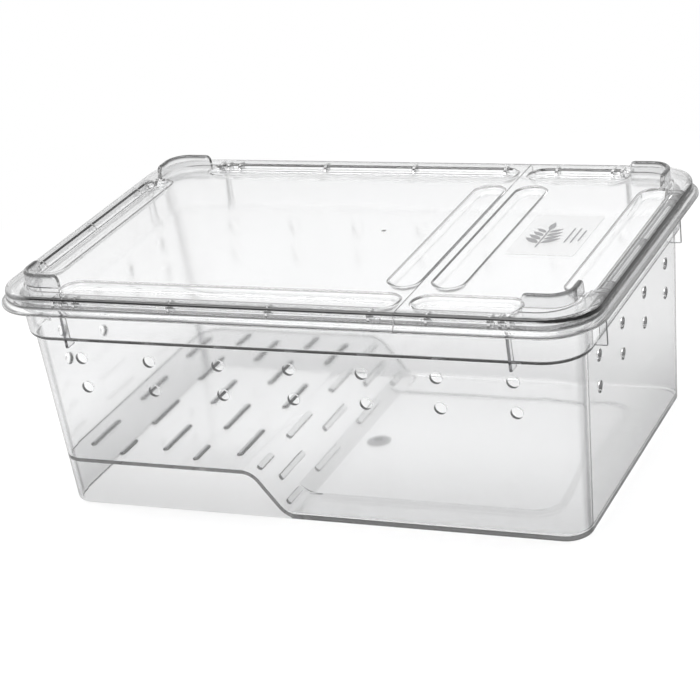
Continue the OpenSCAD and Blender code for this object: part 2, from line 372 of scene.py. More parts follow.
def shaped(target: Piece, tool: Mesh | Piece, cut: Cut) -> Piece:
    """Joins a tool to an object, removes it, or keeps what both share.

    Args:
        target: The closed mesh that changes.
        tool: The other closed mesh, which is used up.
        cut: What happens.

    Returns:
        The changed target.
    """
    other = tool if isinstance(tool, Piece) else new_object("tool", tool)
    change = target.modifiers.new("change", "BOOLEAN")
    change.solver = "MANIFOLD"
    change.operation = cut.value
    change.object = other
    applied(target)
    drop(other)
    if not target.data.polygons:
        raise RuntimeError(f"{target.name}: {cut.name} left nothing")
    return target


def smoothed(made: Piece, sharp: float = 34.0, weld: float = 2e-6, least: float = 1e-6) -> Piece:
    """Merges stray points, then shades the rounds smooth and keeps flat faces flat.

    Args:
        made: The piece.
        sharp: Edges that turn by more degrees than this stay sharp.
        weld: Points that lie closer than this become one, in metres.
        least: Edges that are shorter than this go, in metres.

    Returns:
        The piece.
    """
    bm = bmesh.new()
    bm.from_mesh(made.data)
    bmesh.ops.remove_doubles(bm, verts=bm.verts, dist=weld)
    bmesh.ops.dissolve_degenerate(bm, edges=bm.edges, dist=least)
    bm.to_mesh(made.data)
    bm.free()
    made.data.shade_smooth()
    made.data.set_sharp_from_angle(angle=math.radians(sharp))
    weighted = made.modifiers.new("weighted", "WEIGHTED_NORMAL")
    weighted.mode = "FACE_AREA"
    weighted.keep_sharp = True
    return applied(made)


def painted_with_shade(made: Piece, tone: Callable[[Vector, Vector], float]) -> Piece:
    """Stores the painted shade of the plastic at each face's corner, for the finish to read.

    Args:
        made: The piece.
        tone: Gives the painted shade from 0 to 1 at a corner, from its place and its face's middle in
            millimetres.

    Returns:
        The piece.
    """
    mesh = made.data
    mark = mesh.attributes.new(PAINTED_SHADE, "FLOAT", "CORNER")
    for face in mesh.polygons:
        middle = face.center / MM
        for corner in face.loop_indices:
            mark.data[corner].value = tone(mesh.vertices[mesh.loops[corner].vertex_index].co / MM, middle)
    return made


def made_of(made: Piece, material: bpy.types.Material) -> Piece:
    """Gives a piece its one material, and returns the piece."""
    made.data.materials.clear()
    made.data.materials.append(material)
    return made


# ------------------------------------------------------------------ node trees


class NodeTree:
    """A node tree that is built with one call for each node."""

    def __init__(self, tree: bpy.types.NodeTree) -> None:
        """Starts with an empty tree."""
        self.tree = tree
        tree.nodes.clear()

    def add(self, kind: str, given: Mapping[str | int, object] | None = None,
            **settings: object) -> bpy.types.Node:
        """Adds a node.

        Args:
            kind: The node's type.
            given: What each input gets, by its name or number: a socket to link to it, or a value.
            **settings: The node's own options, which are set first.

        Returns:
            The node.
        """
        node = self.tree.nodes.new(kind)
        for name, value in settings.items():
            setattr(node, name, value)
        for name, value in (given or {}).items():
            if isinstance(value, Socket):
                self.tree.links.new(value, node.inputs[name])
            else:
                node.inputs[name].default_value = value
        return node

    def math(self, operation: str, *values: object, clamp: bool = False) -> Socket:
        """Adds a sum of sockets or numbers and gives its result."""
        settings = {"operation": operation, "use_clamp": clamp}
        return self.add("ShaderNodeMath", dict(enumerate(values)), **settings).outputs[0]

    def vector(self, operation: str, *values: object) -> Socket:
        """Adds a sum of vectors whose result is a number, and gives that."""
        return self.add("ShaderNodeVectorMath", dict(enumerate(values)), operation=operation).outputs["Value"]

    def split(self, vector: Socket) -> bpy.types.NodeOutputs:
        """Gives a vector's three parts."""
        return self.add("ShaderNodeSeparateXYZ", {"Vector": vector}).outputs

    def mix(self, factor: Socket, first: object, second: object) -> Socket:
        """Adds a mix of two colours and gives its result."""
        given = {"Factor": factor, "A": first, "B": second}
        return self.add("ShaderNodeMix", given, data_type="RGBA").outputs["Result"]

    def shares(self, factor: Socket, first: bpy.types.Node, second: bpy.types.Node) -> Socket:
        """Adds a mix of two shaders and gives its result."""
        given = {"Fac": factor, 1: first.outputs[0], 2: second.outputs[0]}
        return self.add("ShaderNodeMixShader", given).outputs[0]

    def mapped(self, value: Socket, span: Span, to: Span = (0.0, 1.0), kind: str = "SMOOTHSTEP") -> Socket:
        """Adds a map from one span of values to another.

        Args:
            value: What is mapped.
            span: The values that become the first and the second of the new ones.
            to: The new ones.
            kind: How the values between go over.

        Returns:
            The result's socket.
        """
        given = {"Value": value, "From Min": span[0], "From Max": span[1], "To Min": to[0], "To Max": to[1]}
        return self.add("ShaderNodeMapRange", given, interpolation_type=kind).outputs["Result"]

    def noise(self, place: Socket, scale: float, detail: float = 2.0, distortion: float = 0.0) -> Socket:
        """Adds a noise and gives its value."""
        given = {"Vector": place, "Scale": scale, "Detail": detail, "Distortion": distortion}
        return self.add("ShaderNodeTexNoise", given).outputs["Fac"]


def new_material(name: str) -> tuple[bpy.types.Material, NodeTree]:
    """Gives an empty material and its tree."""
    material = bpy.data.materials.new(name)
    material.use_nodes = True
    return material, NodeTree(material.node_tree)


# ------------------------------------------------------------------ repeated features


class Grid:
    """Copies of a small mesh on a grid of columns and rows, or holes bored on such a grid."""

    SOCKETS = {"Columns": "Int", "Rows": "Int", "First": "Vector", "Column Step": "Vector",
               "Row Step": "Vector", "Turn": "Rotation", "Diameter": "Float", "Depth": "Float",
               "Material": "Material"}
    DRILL_SIDES = 40

    def __init__(self, pattern: Pattern) -> None:
        """Builds the tree for copies or for holes."""
        self.pattern = pattern
        self.group = bpy.data.node_groups.new(f"grid of {pattern.value}", "GeometryNodeTree")
        face = self.group.interface
        face.new_socket("Geometry", in_out="INPUT", socket_type="NodeSocketGeometry")
        self.ids = {name: face.new_socket(name, in_out="INPUT", socket_type="NodeSocket" + kind).identifier
                    for name, kind in self.SOCKETS.items()}
        face.new_socket("Geometry", in_out="OUTPUT", socket_type="NodeSocketGeometry")
        self._build(NodeTree(self.group))

    def _build(self, tree: NodeTree) -> None:
        """Lays the nodes: a line of columns, a line of rows on each, and a copy or a hole at each point.

        Args:
            tree: The group's empty tree.
        """
        given = tree.add("NodeGroupInput").outputs
        columns = tree.add("GeometryNodeMeshLine", {
            "Count": given["Columns"], "Start Location": given["First"], "Offset": given["Column Step"]},
            mode="OFFSET")
        rows = tree.add("GeometryNodeMeshLine", {"Count": given["Rows"], "Offset": given["Row Step"]},
                        mode="OFFSET")
        points = self._on(tree, {"Points": columns.outputs["Mesh"], "Instance": rows.outputs["Mesh"]})
        if self.pattern is Pattern.COPIES:
            result = self._on(tree, {"Points": points, "Instance": given["Geometry"],
                                     "Rotation": given["Turn"]})
        else:
            drill = tree.add("GeometryNodeMeshCylinder", {
                "Vertices": self.DRILL_SIDES, "Radius": tree.math("MULTIPLY", given["Diameter"], 0.5),
                "Depth": given["Depth"]})
            drills = self._on(tree, {"Points": points, "Instance": drill.outputs["Mesh"],
                                     "Rotation": given["Turn"]})
            bored = tree.add("GeometryNodeMeshBoolean", {"Mesh 1": given["Geometry"], "Mesh 2": drills},
                             operation="DIFFERENCE", solver="MANIFOLD")
            result = self._plain(tree, bored.outputs["Mesh"])
        dressed = tree.add("GeometryNodeSetMaterial", {"Geometry": result, "Material": given["Material"]})
        tree.add("NodeGroupOutput", {"Geometry": dressed.outputs["Geometry"]})

    def _on(self, tree: NodeTree, given: Mapping[str, Socket]) -> Socket:
        """Adds copies of a piece on points, as plain mesh."""
        return self._plain(tree, tree.add("GeometryNodeInstanceOnPoints", given).outputs["Instances"])

    @staticmethod
    def _plain(tree: NodeTree, copies: Socket) -> Socket:
        """Adds the step that turns copies into plain mesh."""
        return tree.add("GeometryNodeRealizeInstances", {"Geometry": copies}).outputs["Geometry"]

    def run(self, made: Piece, material: bpy.types.Material, columns: int, rows: int,
            first: Sequence[float], column_step: Sequence[float] = (0, 0, 0),
            row_step: Sequence[float] = (0, 0, 0), turn: Sequence[float] = (0, 0, 0),
            diameter: float = 0.0, depth: float = 0.0) -> Piece:
        """Runs the tree on an object and leaves plain mesh.

        Args:
            made: The small mesh that is copied, or the piece that is bored.
            material: What the result is made of.
            columns: How many columns.
            rows: How many rows.
            first: The first copy's place, in millimetres.
            column_step: From one column to the next.
            row_step: From one row to the next.
            turn: Rotation of each copy or drill, in degrees about X, Y and Z.
            diameter: The holes' diameter.
            depth: The drill's length.

        Returns:
            The changed object.
        """
        values = {"Columns": columns, "Rows": rows, "First": scaled(first),
                  "Column Step": scaled(column_step), "Row Step": scaled(row_step),
                  "Turn": [math.radians(t) for t in turn],
                  "Diameter": diameter * MM, "Depth": depth * MM, "Material": material}
        modifier = made.modifiers.new("grid", "NODES")
        modifier.node_group = self.group
        for name, value in values.items():
            modifier[self.ids[name]] = value
        return applied(made)


def scaled(point: Sequence[float]) -> list[float]:
    """Turns millimetres into metres."""
    return [float(c) * MM for c in point]


# ------------------------------------------------------------------ finishes


def grey(level: float) -> Colour:
    """Gives a plain grey."""
    return level, level, level, 1.0


class ScuffsAndPaintedShade:
    """A shader node group: the faint scuffs, flow lines and dust that a handled clear moulding shows, and the
    painted shade that darkens its tint where the tone attribute marks it.
    """

    INPUTS = {"Roughness": "Float", "Scuffs": "Float", "Flow": "Float", "Tint": "Color", "Edge Tint": "Color"}
    OUTPUTS = {"Roughness": "Float", "Height": "Float", "Tint": "Color"}
    LINE_STRETCH = (30.0, 900.0, 900.0)
    LINE_SPAN = (0.62, 0.80)
    PATCHES = (70.0, 4.0)
    FLOW = (26.0, 1.5, 0.4)

    def __init__(self) -> None:
        """Builds the group once, for every clear plastic."""
        self.group = bpy.data.node_groups.new("moulded surface", "ShaderNodeTree")
        for way, sockets in (("INPUT", self.INPUTS), ("OUTPUT", self.OUTPUTS)):
            for name, kind in sockets.items():
                self.group.interface.new_socket(name, in_out=way, socket_type="NodeSocket" + kind)
        self._build(NodeTree(self.group))

    def _build(self, tree: NodeTree) -> None:
        """Lays the nodes: slow flow marks for the height, patches and fine lines for the roughness, and the
        tint mixed towards the painted shade colour by the tone attribute.

        Args:
            tree: The group's empty tree.
        """
        given = tree.add("NodeGroupInput").outputs
        place = tree.add("ShaderNodeTexCoord").outputs["Object"]
        stretched = tree.add("ShaderNodeMapping", {"Vector": place, "Scale": self.LINE_STRETCH})
        lines = tree.mapped(tree.noise(stretched.outputs["Vector"], 1.0), self.LINE_SPAN, kind="LINEAR")
        worn = tree.math("MULTIPLY", tree.noise(place, *self.PATCHES), lines)
        # the tone attribute holds painted shade: where it is 1 the tint becomes the painted shade colour
        tone = tree.add("ShaderNodeAttribute", attribute_name=PAINTED_SHADE).outputs["Fac"]
        tree.add("NodeGroupOutput", {
            "Roughness": tree.math("MULTIPLY_ADD", worn, given["Scuffs"], given["Roughness"]),
            "Height": tree.math("MULTIPLY", tree.noise(place, *self.FLOW), given["Flow"]),
            "Tint": tree.mix(tone, given["Tint"], given["Edge Tint"])})


@dataclass(frozen=True)
class PaintedWallShade:
    """Painted shade on a tub's walls: their tint is darker than that of its level faces, more on the short
    walls, and most at their foot.
    """

    # painted shade: the tints of long and short walls, and the darker one near the floor
    long: Colour
    short: Colour
    foot: Colour
    foot_shade_span: Span = (0.060, 0.0)
    upright_span: Span = (0.45, 0.20)

    def lay(self, tree: NodeTree, level: Colour) -> Socket:
        """Lays the nodes that paint shade into the tint of the walls, and most at their foot.

        Args:
            tree: The material's tree.
            level: The tint of level faces.

        Returns:
            The tint's socket.
        """
        place = tree.add("ShaderNodeTexCoord").outputs
        facing = tree.split(place["Normal"])
        high = tree.mix(tree.math("ABSOLUTE", facing["X"]), self.long, self.short)
        walls = tree.mix(tree.mapped(tree.split(place["Object"])["Z"], self.foot_shade_span), high, self.foot)
        return tree.mix(tree.mapped(tree.math("ABSOLUTE", facing["Z"]), self.upright_span), level, walls)


@dataclass(frozen=True)
class ClearPlastic:
    """A clear, slightly grey moulded plastic that lets the studio's light through, with painted shade
    darkening its tint at marked corners and, on a tub, on its walls.
    """

    name: str
    tint: Colour
    # the colour of full painted shade, where the tone attribute is 1
    painted_shade_tint: Colour
    walls: PaintedWallShade | None = None
    refraction: float = 1.56
    roughness: float = 0.06
    scuffs: float = 0.10
    flow: float = 0.35
    relief: float = 0.25
    relief_depth: float = 0.0006
    shade: float = 0.86
    loss: float = 18.0
    trapped: float = 0.80
    turns: float = 2.5

    def build(self, surface: ScuffsAndPaintedShade) -> bpy.types.Material:
        """Builds the material.

        Args:
            surface: The shared group of scuffs, flow marks and painted shade.

        Returns:
            The material.
        """
        material, tree = new_material(self.name)
        skin = tree.add("ShaderNodeGroup", {
            "Roughness": self.roughness, "Scuffs": self.scuffs, "Flow": self.flow,
            "Tint": self.walls.lay(tree, self.tint) if self.walls else self.tint,
            "Edge Tint": self.painted_shade_tint}, node_tree=surface.group).outputs
        bump = tree.add("ShaderNodeBump", {
            "Strength": self.relief, "Distance": self.relief_depth, "Height": skin["Height"]})
        body = tree.add("ShaderNodeBsdfPrincipled", {
            "Base Color": skin["Tint"], "Roughness": skin["Roughness"], "IOR": self.refraction,
            "Transmission Weight": 1.0, "Normal": bump.outputs["Normal"]})
        rays = tree.add("ShaderNodeLightPath").outputs
        through = tree.add("ShaderNodeBsdfTransparent", {
            "Color": tree.mix(rays["Is Shadow Ray"], grey(self.trapped), grey(self.shade))})
        stuck = tree.math("GREATER_THAN", rays["Glossy Depth"], self.turns)
        straight = tree.math("MAXIMUM", rays["Is Shadow Ray"], stuck)
        ends = {"Surface": tree.shares(straight, body, through)}
        if self.loss:
            depth = tree.add("ShaderNodeVolumeAbsorption", {"Color": grey(0.0), "Density": self.loss})
            ends["Volume"] = depth.outputs["Volume"]
        tree.add("ShaderNodeOutputMaterial", ends)
        return material


@dataclass(frozen=True)
class PrintInk:
    """A dark grey ink with a slightly uneven cover."""

    name: str = "label_ink"
    dark: Colour = (0.16, 0.16, 0.165, 1.0)
    pale: Colour = (0.30, 0.30, 0.305, 1.0)
    grain: float = 900.0
    roughness: float = 0.45

    def build(self) -> bpy.types.Material:
        """Builds the material.

        Returns:
            The material.
        """
        material, tree = new_material(self.name)
        cover = tree.noise(tree.add("ShaderNodeTexCoord").outputs["Object"], self.grain)
        body = tree.add("ShaderNodeBsdfPrincipled", {
            "Roughness": self.roughness, "Base Color": tree.mix(cover, self.dark, self.pale)})
        tree.add("ShaderNodeOutputMaterial", {"Surface": body.outputs["BSDF"]})
        return material


class Finishes:
    """Every material of the keeper."""

    def __init__(self) -> None:
        """Builds the shared group and the materials."""
        surface = ScuffsAndPaintedShade()
        # painted shade on the tub's walls, darker on the short ones and darkest at their foot
        walls = PaintedWallShade(long=(0.955, 0.957, 0.96, 1.0), short=(0.942, 0.944, 0.947, 1.0),
                          foot=(0.76, 0.762, 0.765, 1.0))
        # each material's second tint is the colour of full painted shade at the toned corners
        self.tub = ClearPlastic("tub_plastic", tint=(0.980, 0.982, 0.985, 1.0), walls=walls,
                                painted_shade_tint=(0.10, 0.10, 0.105, 1.0), loss=14.0, trapped=0.72).build(surface)
        self.lid = ClearPlastic("lid_plastic", tint=(0.990, 0.992, 0.995, 1.0), painted_shade_tint=grey(0.0),
                                roughness=0.085, loss=8.0, trapped=0.74).build(surface)
        self.film = ClearPlastic("label_film", tint=grey(0.985), painted_shade_tint=(0.30, 0.30, 0.31, 1.0),
                                 refraction=1.47, roughness=0.10, scuffs=0.2, loss=0.0).build(surface)
        self.ink = PrintInk().build()


# ------------------------------------------------------------------ tub


@dataclass
class Ramp:
    """The floor's side view: a level ledge, a curved ramp and the low floor."""

    ledge_end: float = -38.0
    ledge_height: float = 26.6
    thickness: float = 2.2
    angle: float = 56.0
    radius: float = 12.0
    steps: int = 14

    def __post_init__(self) -> None:
        """Works out the ramp's straight and its toe."""
        self.tilt = math.radians(self.angle)
        self.arc_run = self.radius * math.sin(self.tilt)
        self.arc_drop = self.radius * (1 - math.cos(self.tilt))
        self.arc_length = self.radius * self.tilt
        self.straight = (self.ledge_height - self.thickness - 2 * self.arc_drop) / math.sin(self.tilt)
        self.toe = self.ledge_end + 2 * self.arc_run + self.straight * math.cos(self.tilt)

    def face(self, inset: float = 0.0) -> Profile:
        """Gives the ramp's face from its crest to its toe.

        Args:
            inset: How far under the upper face it lies, square to that face.

        Returns:
            Points over X and Z.
        """
        crest = (self.ledge_end, self.ledge_height - self.radius)
        toe = (self.toe, self.thickness + self.radius)
        return arc(crest, self.radius - inset, 90, 90 - self.angle, self.steps) \
            + arc(toe, self.radius + inset, 270 - self.angle, 270, self.steps)

    def at(self, along: float) -> Place:
        """Gives a spot on the ramp.

        Args:
            along: Its distance down the ramp from the crest.

        Returns:
            Its place along X, its height and the slope there in degrees.
        """
        past = along - self.arc_length
        if 0 <= past < self.straight:
            return (self.ledge_end + self.arc_run + past * math.cos(self.tilt),
                    self.ledge_height - self.arc_drop - past * math.sin(self.tilt), self.angle)
        turn = (along if past < 0 else 2 * self.arc_length + self.straight - along) / self.radius
        run, fall = self.radius * math.sin(turn), self.radius * (1 - math.cos(turn))
        if past < 0:
            return self.ledge_end + run, self.ledge_height - fall, math.degrees(turn)
        return self.toe - run, self.thickness + fall, math.degrees(turn)


@dataclass
class Tub:
    """The tub: leaning walls with a collar and a rim, a ledge with a ramp, and a low floor."""

    finishes: Finishes
    copies: Grid
    holes: Grid
    foot: Outline = Outline(284.0, 172.0, 12.5)
    height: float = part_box("tub")[1][2] / MM
    draft: float = 3.4
    wall: float = 2.0
    foot_round: float = 1.8
    floor_fillet: float = 2.6
    arc_steps: int = 6
    collar_z: float = 97.2
    collar_step: float = 2.6
    step_angle: float = 70.0
    step_round: float = 0.5
    flange_reach: float = 3.8
    flange_t: float = 2.0
    lip_round: float = 0.8
    mouth: tuple[Span, Span] = ((-0.05, -0.6), (0.85, 0.3))
    fin_x: float = 118.0
    fin_y: float = 64.0
    fin_t: float = 1.6
    fin_drop: float = 2.4
    fin_toe: tuple[Span, Span] = ((-0.9, 0.0), (-0.6, 0.25))
    fin_bevel: float = 0.28
    ramp: Ramp = field(default_factory=Ramp)
    tread_long: float = 30.0
    tread_short: float = 17.0
    tread_w: float = 3.4
    tread_h: float = 1.2
    tread_back: float = 0.42
    tread_root: float = 0.25
    tread_bite: float = 0.4
    tread_wall_gap: float = 7.0
    tread_pitch: float = 21.4
    tread_step: float = 56.0
    tread_inset: float = 7.5
    ramp_pitch: float = 11.4
    panel_border: float = 23.0
    panel_step: float = 1.0
    panel_slope: float = 5.0
    panel_ease: Span = (0.6, 0.12)
    panel_r: float = 12.0
    toe_past: float = 2.0
    gate_d: float = 14.0
    gate_depth: float = 0.5
    gate_past: tuple[Span, Span] = ((0.0, 0.01), (0.6, 0.5))
    vent_d: float = 6.4
    vent_pitch_l: float = 38.5
    vent_pitch_w: float = 37.8
    vents_long: int = 7
    vents_short: int = 4
    vent_low_z: float = 69.8
    vent_rise: float = 16.4
    drill: float = 40.0
    over: float = 0.5
    # painted shade, from 0 to 1, that darkens the tint on the fins, vents, wall bends, treads, ramp ribs,
    # panel edge and gate mark
    fin_tone: float = 1.0
    vent_tone: float = 1.0
    bend_tone: float = 0.9
    bend_lines: tuple[Place, ...] = ((1.0, 0.83, 0.10), (0.4, 0.72, 0.25))
    bend_fade: float = 0.4
    tread_tone: float = 0.72
    ramp_tone: float = 0.25
    panel_tone: float = 0.16
    gate_tone: float = 0.78
    gate_fall: int = 16

    def lean(self, z: float) -> float:
        """Gives how far the walls have leaned out at a height."""
        return z * math.tan(math.radians(self.draft))

    def outside(self) -> Profile:
        """Gives the outside of the walls, the collar and the rim.

        Returns:
            Distances out and heights.
        """
        edge = self.lip_round
        lip = self.lean(self.height) + self.collar_step + self.flange_reach - edge
        low = self.height - self.flange_t
        foot = arc((-self.foot_round, self.foot_round), self.foot_round, -90, 0, self.arc_steps)
        root = self.lean(low) + self.collar_step
        under = [(root, low - edge), (root + 0.3 * edge, low - 0.3 * edge), (root + edge, low)]
        tip = arc((lip, low + edge), edge, -90, 0, 4) + arc((lip, self.height - edge), edge, 0, 90, 4)
        return foot + self._step(0.0) + under + tip

    def inside(self, floor: float, fillet: float) -> Profile:
        """Gives the inside of the walls from a floor to above the rim.

        Args:
            floor: The height at which it starts.
            fillet: The radius between the floor and the wall.

        Returns:
            Distances out and heights.
        """
        start = self.lean(floor + fillet) - self.wall
        top = self.lean(self.height) - self.wall + self.collar_step
        mouth = [(top + u, self.height + z) for u, z in self.mouth]
        return arc((start - fillet, floor + fillet), fillet, -90, 0, self.arc_steps) \
            + self._step(self.wall) + mouth

    def _step(self, inset: float) -> Profile:
        """Gives the collar's step, which keeps the wall's thickness through both of its bends.

        Args:
            inset: How far in from the wall's outside it lies.

        Returns:
            Distances out and heights.
        """
        tilt = math.radians(self.step_angle)
        tight, wide = self.step_round, self.step_round + self.wall
        run = (self.collar_step - (tight + wide) * (1 - math.cos(tilt))) / math.sin(tilt)
        rise = (tight + wide) * math.sin(tilt) + run * math.cos(tilt)
        low, high = self.collar_z - rise / 2, self.collar_z + rise / 2
        bends = arc((tight, low), tight + inset, 180, 180 - self.step_angle, self.arc_steps)
        bends += arc((self.collar_step - wide, high), wide - inset, -self.step_angle, 0, self.arc_steps)
        return [(u + self.lean(z), z) for u, z in bends]

    def build(self) -> Piece:
        """Makes the whole tub.

        Returns:
            The tub as one closed mesh.
        """
        tub = new_object("tub_shell", self.foot.solid(self.outside()))
        thick = self.ramp.thickness
        for tool, cut in ((self._fins(), Cut.JOIN), (self._space_above(), Cut.REMOVE),
                          (self._panel(0.0, thick / 2, thick), Cut.JOIN),
                          (self._toe(0.0, thick / 2), Cut.JOIN), (self._treads(), Cut.JOIN),
                          (self._space_below(), Cut.REMOVE),
                          (self._panel(-thick / 2, -self.over, 0.0), Cut.REMOVE),
                          (self._toe(thick, thick * 1.5), Cut.REMOVE), (self._gate_mark(), Cut.REMOVE)):
            shaped(tub, tool, cut)
        return painted_with_shade(smoothed(self._vents(tub)), self._painted_shade)

    def _painted_shade(self, spot: Vector, middle: Vector) -> float:
        """Gives the painted shade of the tub at a face's corner.

        Args:
            spot: The corner's place.
            middle: The face's middle.

        Returns:
            The painted shade of its fins, vents, treads, wall bends, panel edge or gate mark, and 0 elsewhere.
        """
        ramp, fin_low = self.ramp, self.collar_z - self.fin_drop
        out = self.foot.beyond(middle.x, middle.y)
        skin = self.lean(middle.z)
        if middle.z > fin_low - SLACK:
            if middle.z > self.height - self.flange_t - 2 * SLACK:
                return 0.0
            skin += self.collar_step if middle.z > fin_low + self.over else 0.0
            return self.fin_tone if out > skin + self.over else self._bend_shade(spot)
        if out > -self.tread_wall_gap + 1.0:
            if -self.wall + SLACK < out - skin < -SLACK and middle.z > self.vent_low_z - self.vent_d:
                return self.vent_tone * (1.0 - self.foot.endwise(middle.x, middle.y))
            return self._bend_shade(spot) if middle.z > ramp.thickness + self.floor_fillet else 0.0
        floor = ramp.thickness + self.panel_step
        if middle.z < floor + SLACK / 2:
            gate = self.gate_d / 2
            if math.hypot(middle.x, middle.y) < gate and ramp.thickness < middle.z < floor - HAIR:
                return self.gate_tone * max(0.0, 1.0 - (math.hypot(spot.x, spot.y) / gate) ** self.gate_fall)
            front = middle.y < 0 or middle.x > self.foot.length / 2 - self.panel_border - self.panel_r
            return self.panel_tone if front and ramp.thickness + SLACK < spot.z < floor - SLACK else 0.0
        path = [(-self.foot.length, ramp.ledge_height)] + ramp.face()
        level = next((a[1] + (b[1] - a[1]) * (middle.x - a[0]) / (b[0] - a[0])
                      for a, b in zip(path, path[1:]) if middle.x <= b[0]), floor)
        if middle.z < level + SLACK:
            return 0.0
        return self.tread_tone if middle.x < ramp.ledge_end else self.ramp_tone

    def _bend_shade(self, spot: Vector) -> float:
        """Gives the painted shade line where a short wall bends into its corner, darkest at the foot."""
        part = self.foot.endwise(spot.x, spot.y)
        line = max(0.0, *(peak - abs(part - place) / half for peak, place, half in self.bend_lines))
        return self.bend_tone * line * (1.0 - self.bend_fade * spot.z / self.height)

    def _space_above(self) -> Piece:
        """Makes what the walls and the floor enclose.

        Returns:
            The room as a closed mesh, to remove.
        """
        room = new_object("space", self.foot.solid(self.inside(self.ramp.thickness, self.floor_fillet)))
        reach = self.foot.length
        outline = [(-reach, self.ramp.ledge_height)] + self.ramp.face()
        outline += [(reach, self.ramp.thickness), (reach, 2 * self.height), (-reach, 2 * self.height)]
        return shaped(room, prism(outline, -reach, reach), Cut.KEEP)

    def _space_below(self) -> Piece:
        """Makes the hollow under the ledge and the ramp.

        Returns:
            The hollow as a closed mesh, to remove.
        """
        low, ramp, reach = -self.over, self.ramp, self.foot.length
        room = new_object("hollow", self.foot.solid([(self.lean(z) - self.wall, z)
                                                     for z in (low, ramp.ledge_height)]))
        under = [p for p in ramp.face(ramp.thickness) if p[1] > low]
        outline = [(-reach, 2 * low), (-reach, ramp.ledge_height - ramp.thickness)] + under
        outline += [(under[-1][0], 2 * low)]
        return shaped(room, prism(outline, -reach, reach), Cut.KEEP)

    def _panel(self, grow: float, low: float, high: float) -> Mesh:
        """Makes the low step of the floor's panel, with sloping sides, to join or to remove.

        Args:
            grow: How far outside the panel's outline its sides lie.
            low: The height at which it starts.
            high: The height at which its sides start to slope.

        Returns:
            The closed mesh.
        """
        right = self.foot.length / 2 - self.panel_border
        left = self.ramp.toe - self.ramp.radius
        shape = Outline(right - left, self.foot.width - 2 * self.panel_border, self.panel_r)
        half, top = self.panel_slope / 2, high + self.panel_step
        ease, lift = half * self.panel_ease[0], self.panel_ease[1]
        spots = [(half, low), (half, high), (ease, high + lift), (-ease, top - lift), (-half, top)]
        return moved(shape.solid([(u + grow, z) for u, z in spots]), ((left + right) / 2, 0, 0))

    def _toe(self, upper: float, lower: float) -> Mesh:
        """Makes the wedge that brings the ramp's toe up to the panel without a crease, to join or to remove.

        Args:
            upper: How far under the raised face its upper side lies.
            lower: How far under the plain face its lower side lies.

        Returns:
            The closed mesh.
        """
        ramp, lift = self.ramp, self.panel_step
        back = lift / math.tan(ramp.tilt)
        over = [(x - back, z + lift) for x, z in ramp.face(upper)[ramp.steps + 1:]]
        under = ramp.face(lower)[ramp.steps + 1:]
        end = ramp.toe + self.toe_past
        reach = self.foot.width / 2 - self.panel_border - self.panel_slope / 2
        outline = over + [(end, over[-1][1]), (end, under[-1][1])] + list(reversed(under))
        return prism(outline, -reach, reach)

    def _gate_mark(self) -> Mesh:
        """Makes the shallow round dimple left by the mould's gate.

        Returns:
            The closed mesh, to remove.
        """
        level, radius, deep = self.ramp.thickness + self.panel_step, self.gate_d / 2, self.gate_depth
        spots = [(radius * part, level - deep * (1 + math.cos(math.pi * part)) / 2)
                 for part in [i / 10 for i in range(1, 10)]]
        return turned(spots + [(radius + u, level + z) for u, z in self.gate_past], 48)

    def _tread(self, length: float) -> Piece:
        """Makes one tread rib, long along Y, with round ends and a rounded back.

        Args:
            length: Its length over the round ends.

        Returns:
            The rib, standing on the origin.
        """
        back, high, root = self.tread_w * self.tread_back, self.tread_h, self.tread_root
        angles = [math.radians(90 * i / self.arc_steps) for i in range(1, self.arc_steps + 1)]
        spots = [(0.0, -self.tread_bite), (0.0, high * root)]
        spots += [(-back * (1 - math.cos(a)), high * (root + (1 - root) * math.sin(a))) for a in angles]
        return new_object("tread", moved(pill(length, self.tread_w, spots, 8), (0, 0, 0), 90))

    def _treads(self) -> Piece:
        """Makes every tread rib: rows of three long ones between rows of two long and two short ones.

        Returns:
            All ribs in one mesh.
        """
        ramp = self.ramp
        first = ramp.ledge_end - self.tread_inset
        short_y = self.foot.width / 2 - self.tread_wall_gap - self.tread_short / 2
        wide = [(self.tread_long, 3, self.tread_step)]
        pairs = [(self.tread_long, 2, self.tread_step), (self.tread_short, 2, 2 * short_y)]
        runs = [(kind, 3, (first, ramp.ledge_height, 0.0)) for kind in wide]
        runs += [(kind, 2, (first - self.tread_pitch, ramp.ledge_height, 0.0)) for kind in pairs]
        for row, kinds in enumerate((pairs, wide, pairs)):
            runs += [(kind, 1, ramp.at(self.tread_inset + row * self.ramp_pitch)) for kind in kinds]
        return merged([
            self.copies.run(self._tread(length), self.finishes.tub, columns, across,
                            (x, -step * (across - 1) / 2, z), (-2 * self.tread_pitch, 0, 0), (0, step, 0),
                            (0, slope, 0))
            for (length, across, step), columns, (x, z, slope) in runs])

    def _fins(self) -> Piece:
        """Makes the eight nesting fins that run down the collar.

        Returns:
            All fins in one mesh.
        """
        low = self.collar_z - self.fin_drop
        lip = self.lean(self.height) + self.collar_step + self.flange_reach - self.over
        under = self.height - self.flange_t + self.over
        side = [(self.lean(low) - self.wall / 2, low)] + [(lip + u, low + z) for u, z in self.fin_toe]
        side += [(lip, under), (self.lean(under), under)]
        parts = []
        for turn in (0, 180, 90, 270):
            across = turn % 180 == 90
            reach = (self.foot.width if across else self.foot.length) / 2
            for spot in (-self.fin_x, self.fin_x) if across else (-self.fin_y, self.fin_y):
                fin = prism([(reach + x, z) for x, z in side], spot - self.fin_t / 2, spot + self.fin_t / 2)
                bmesh.ops.bevel(fin, geom=fin.edges, offset=self.fin_bevel, segments=2, affect="EDGES")
                parts.append(moved(fin, (0, 0, 0), turn))
        return new_object("fins", gathered(parts))

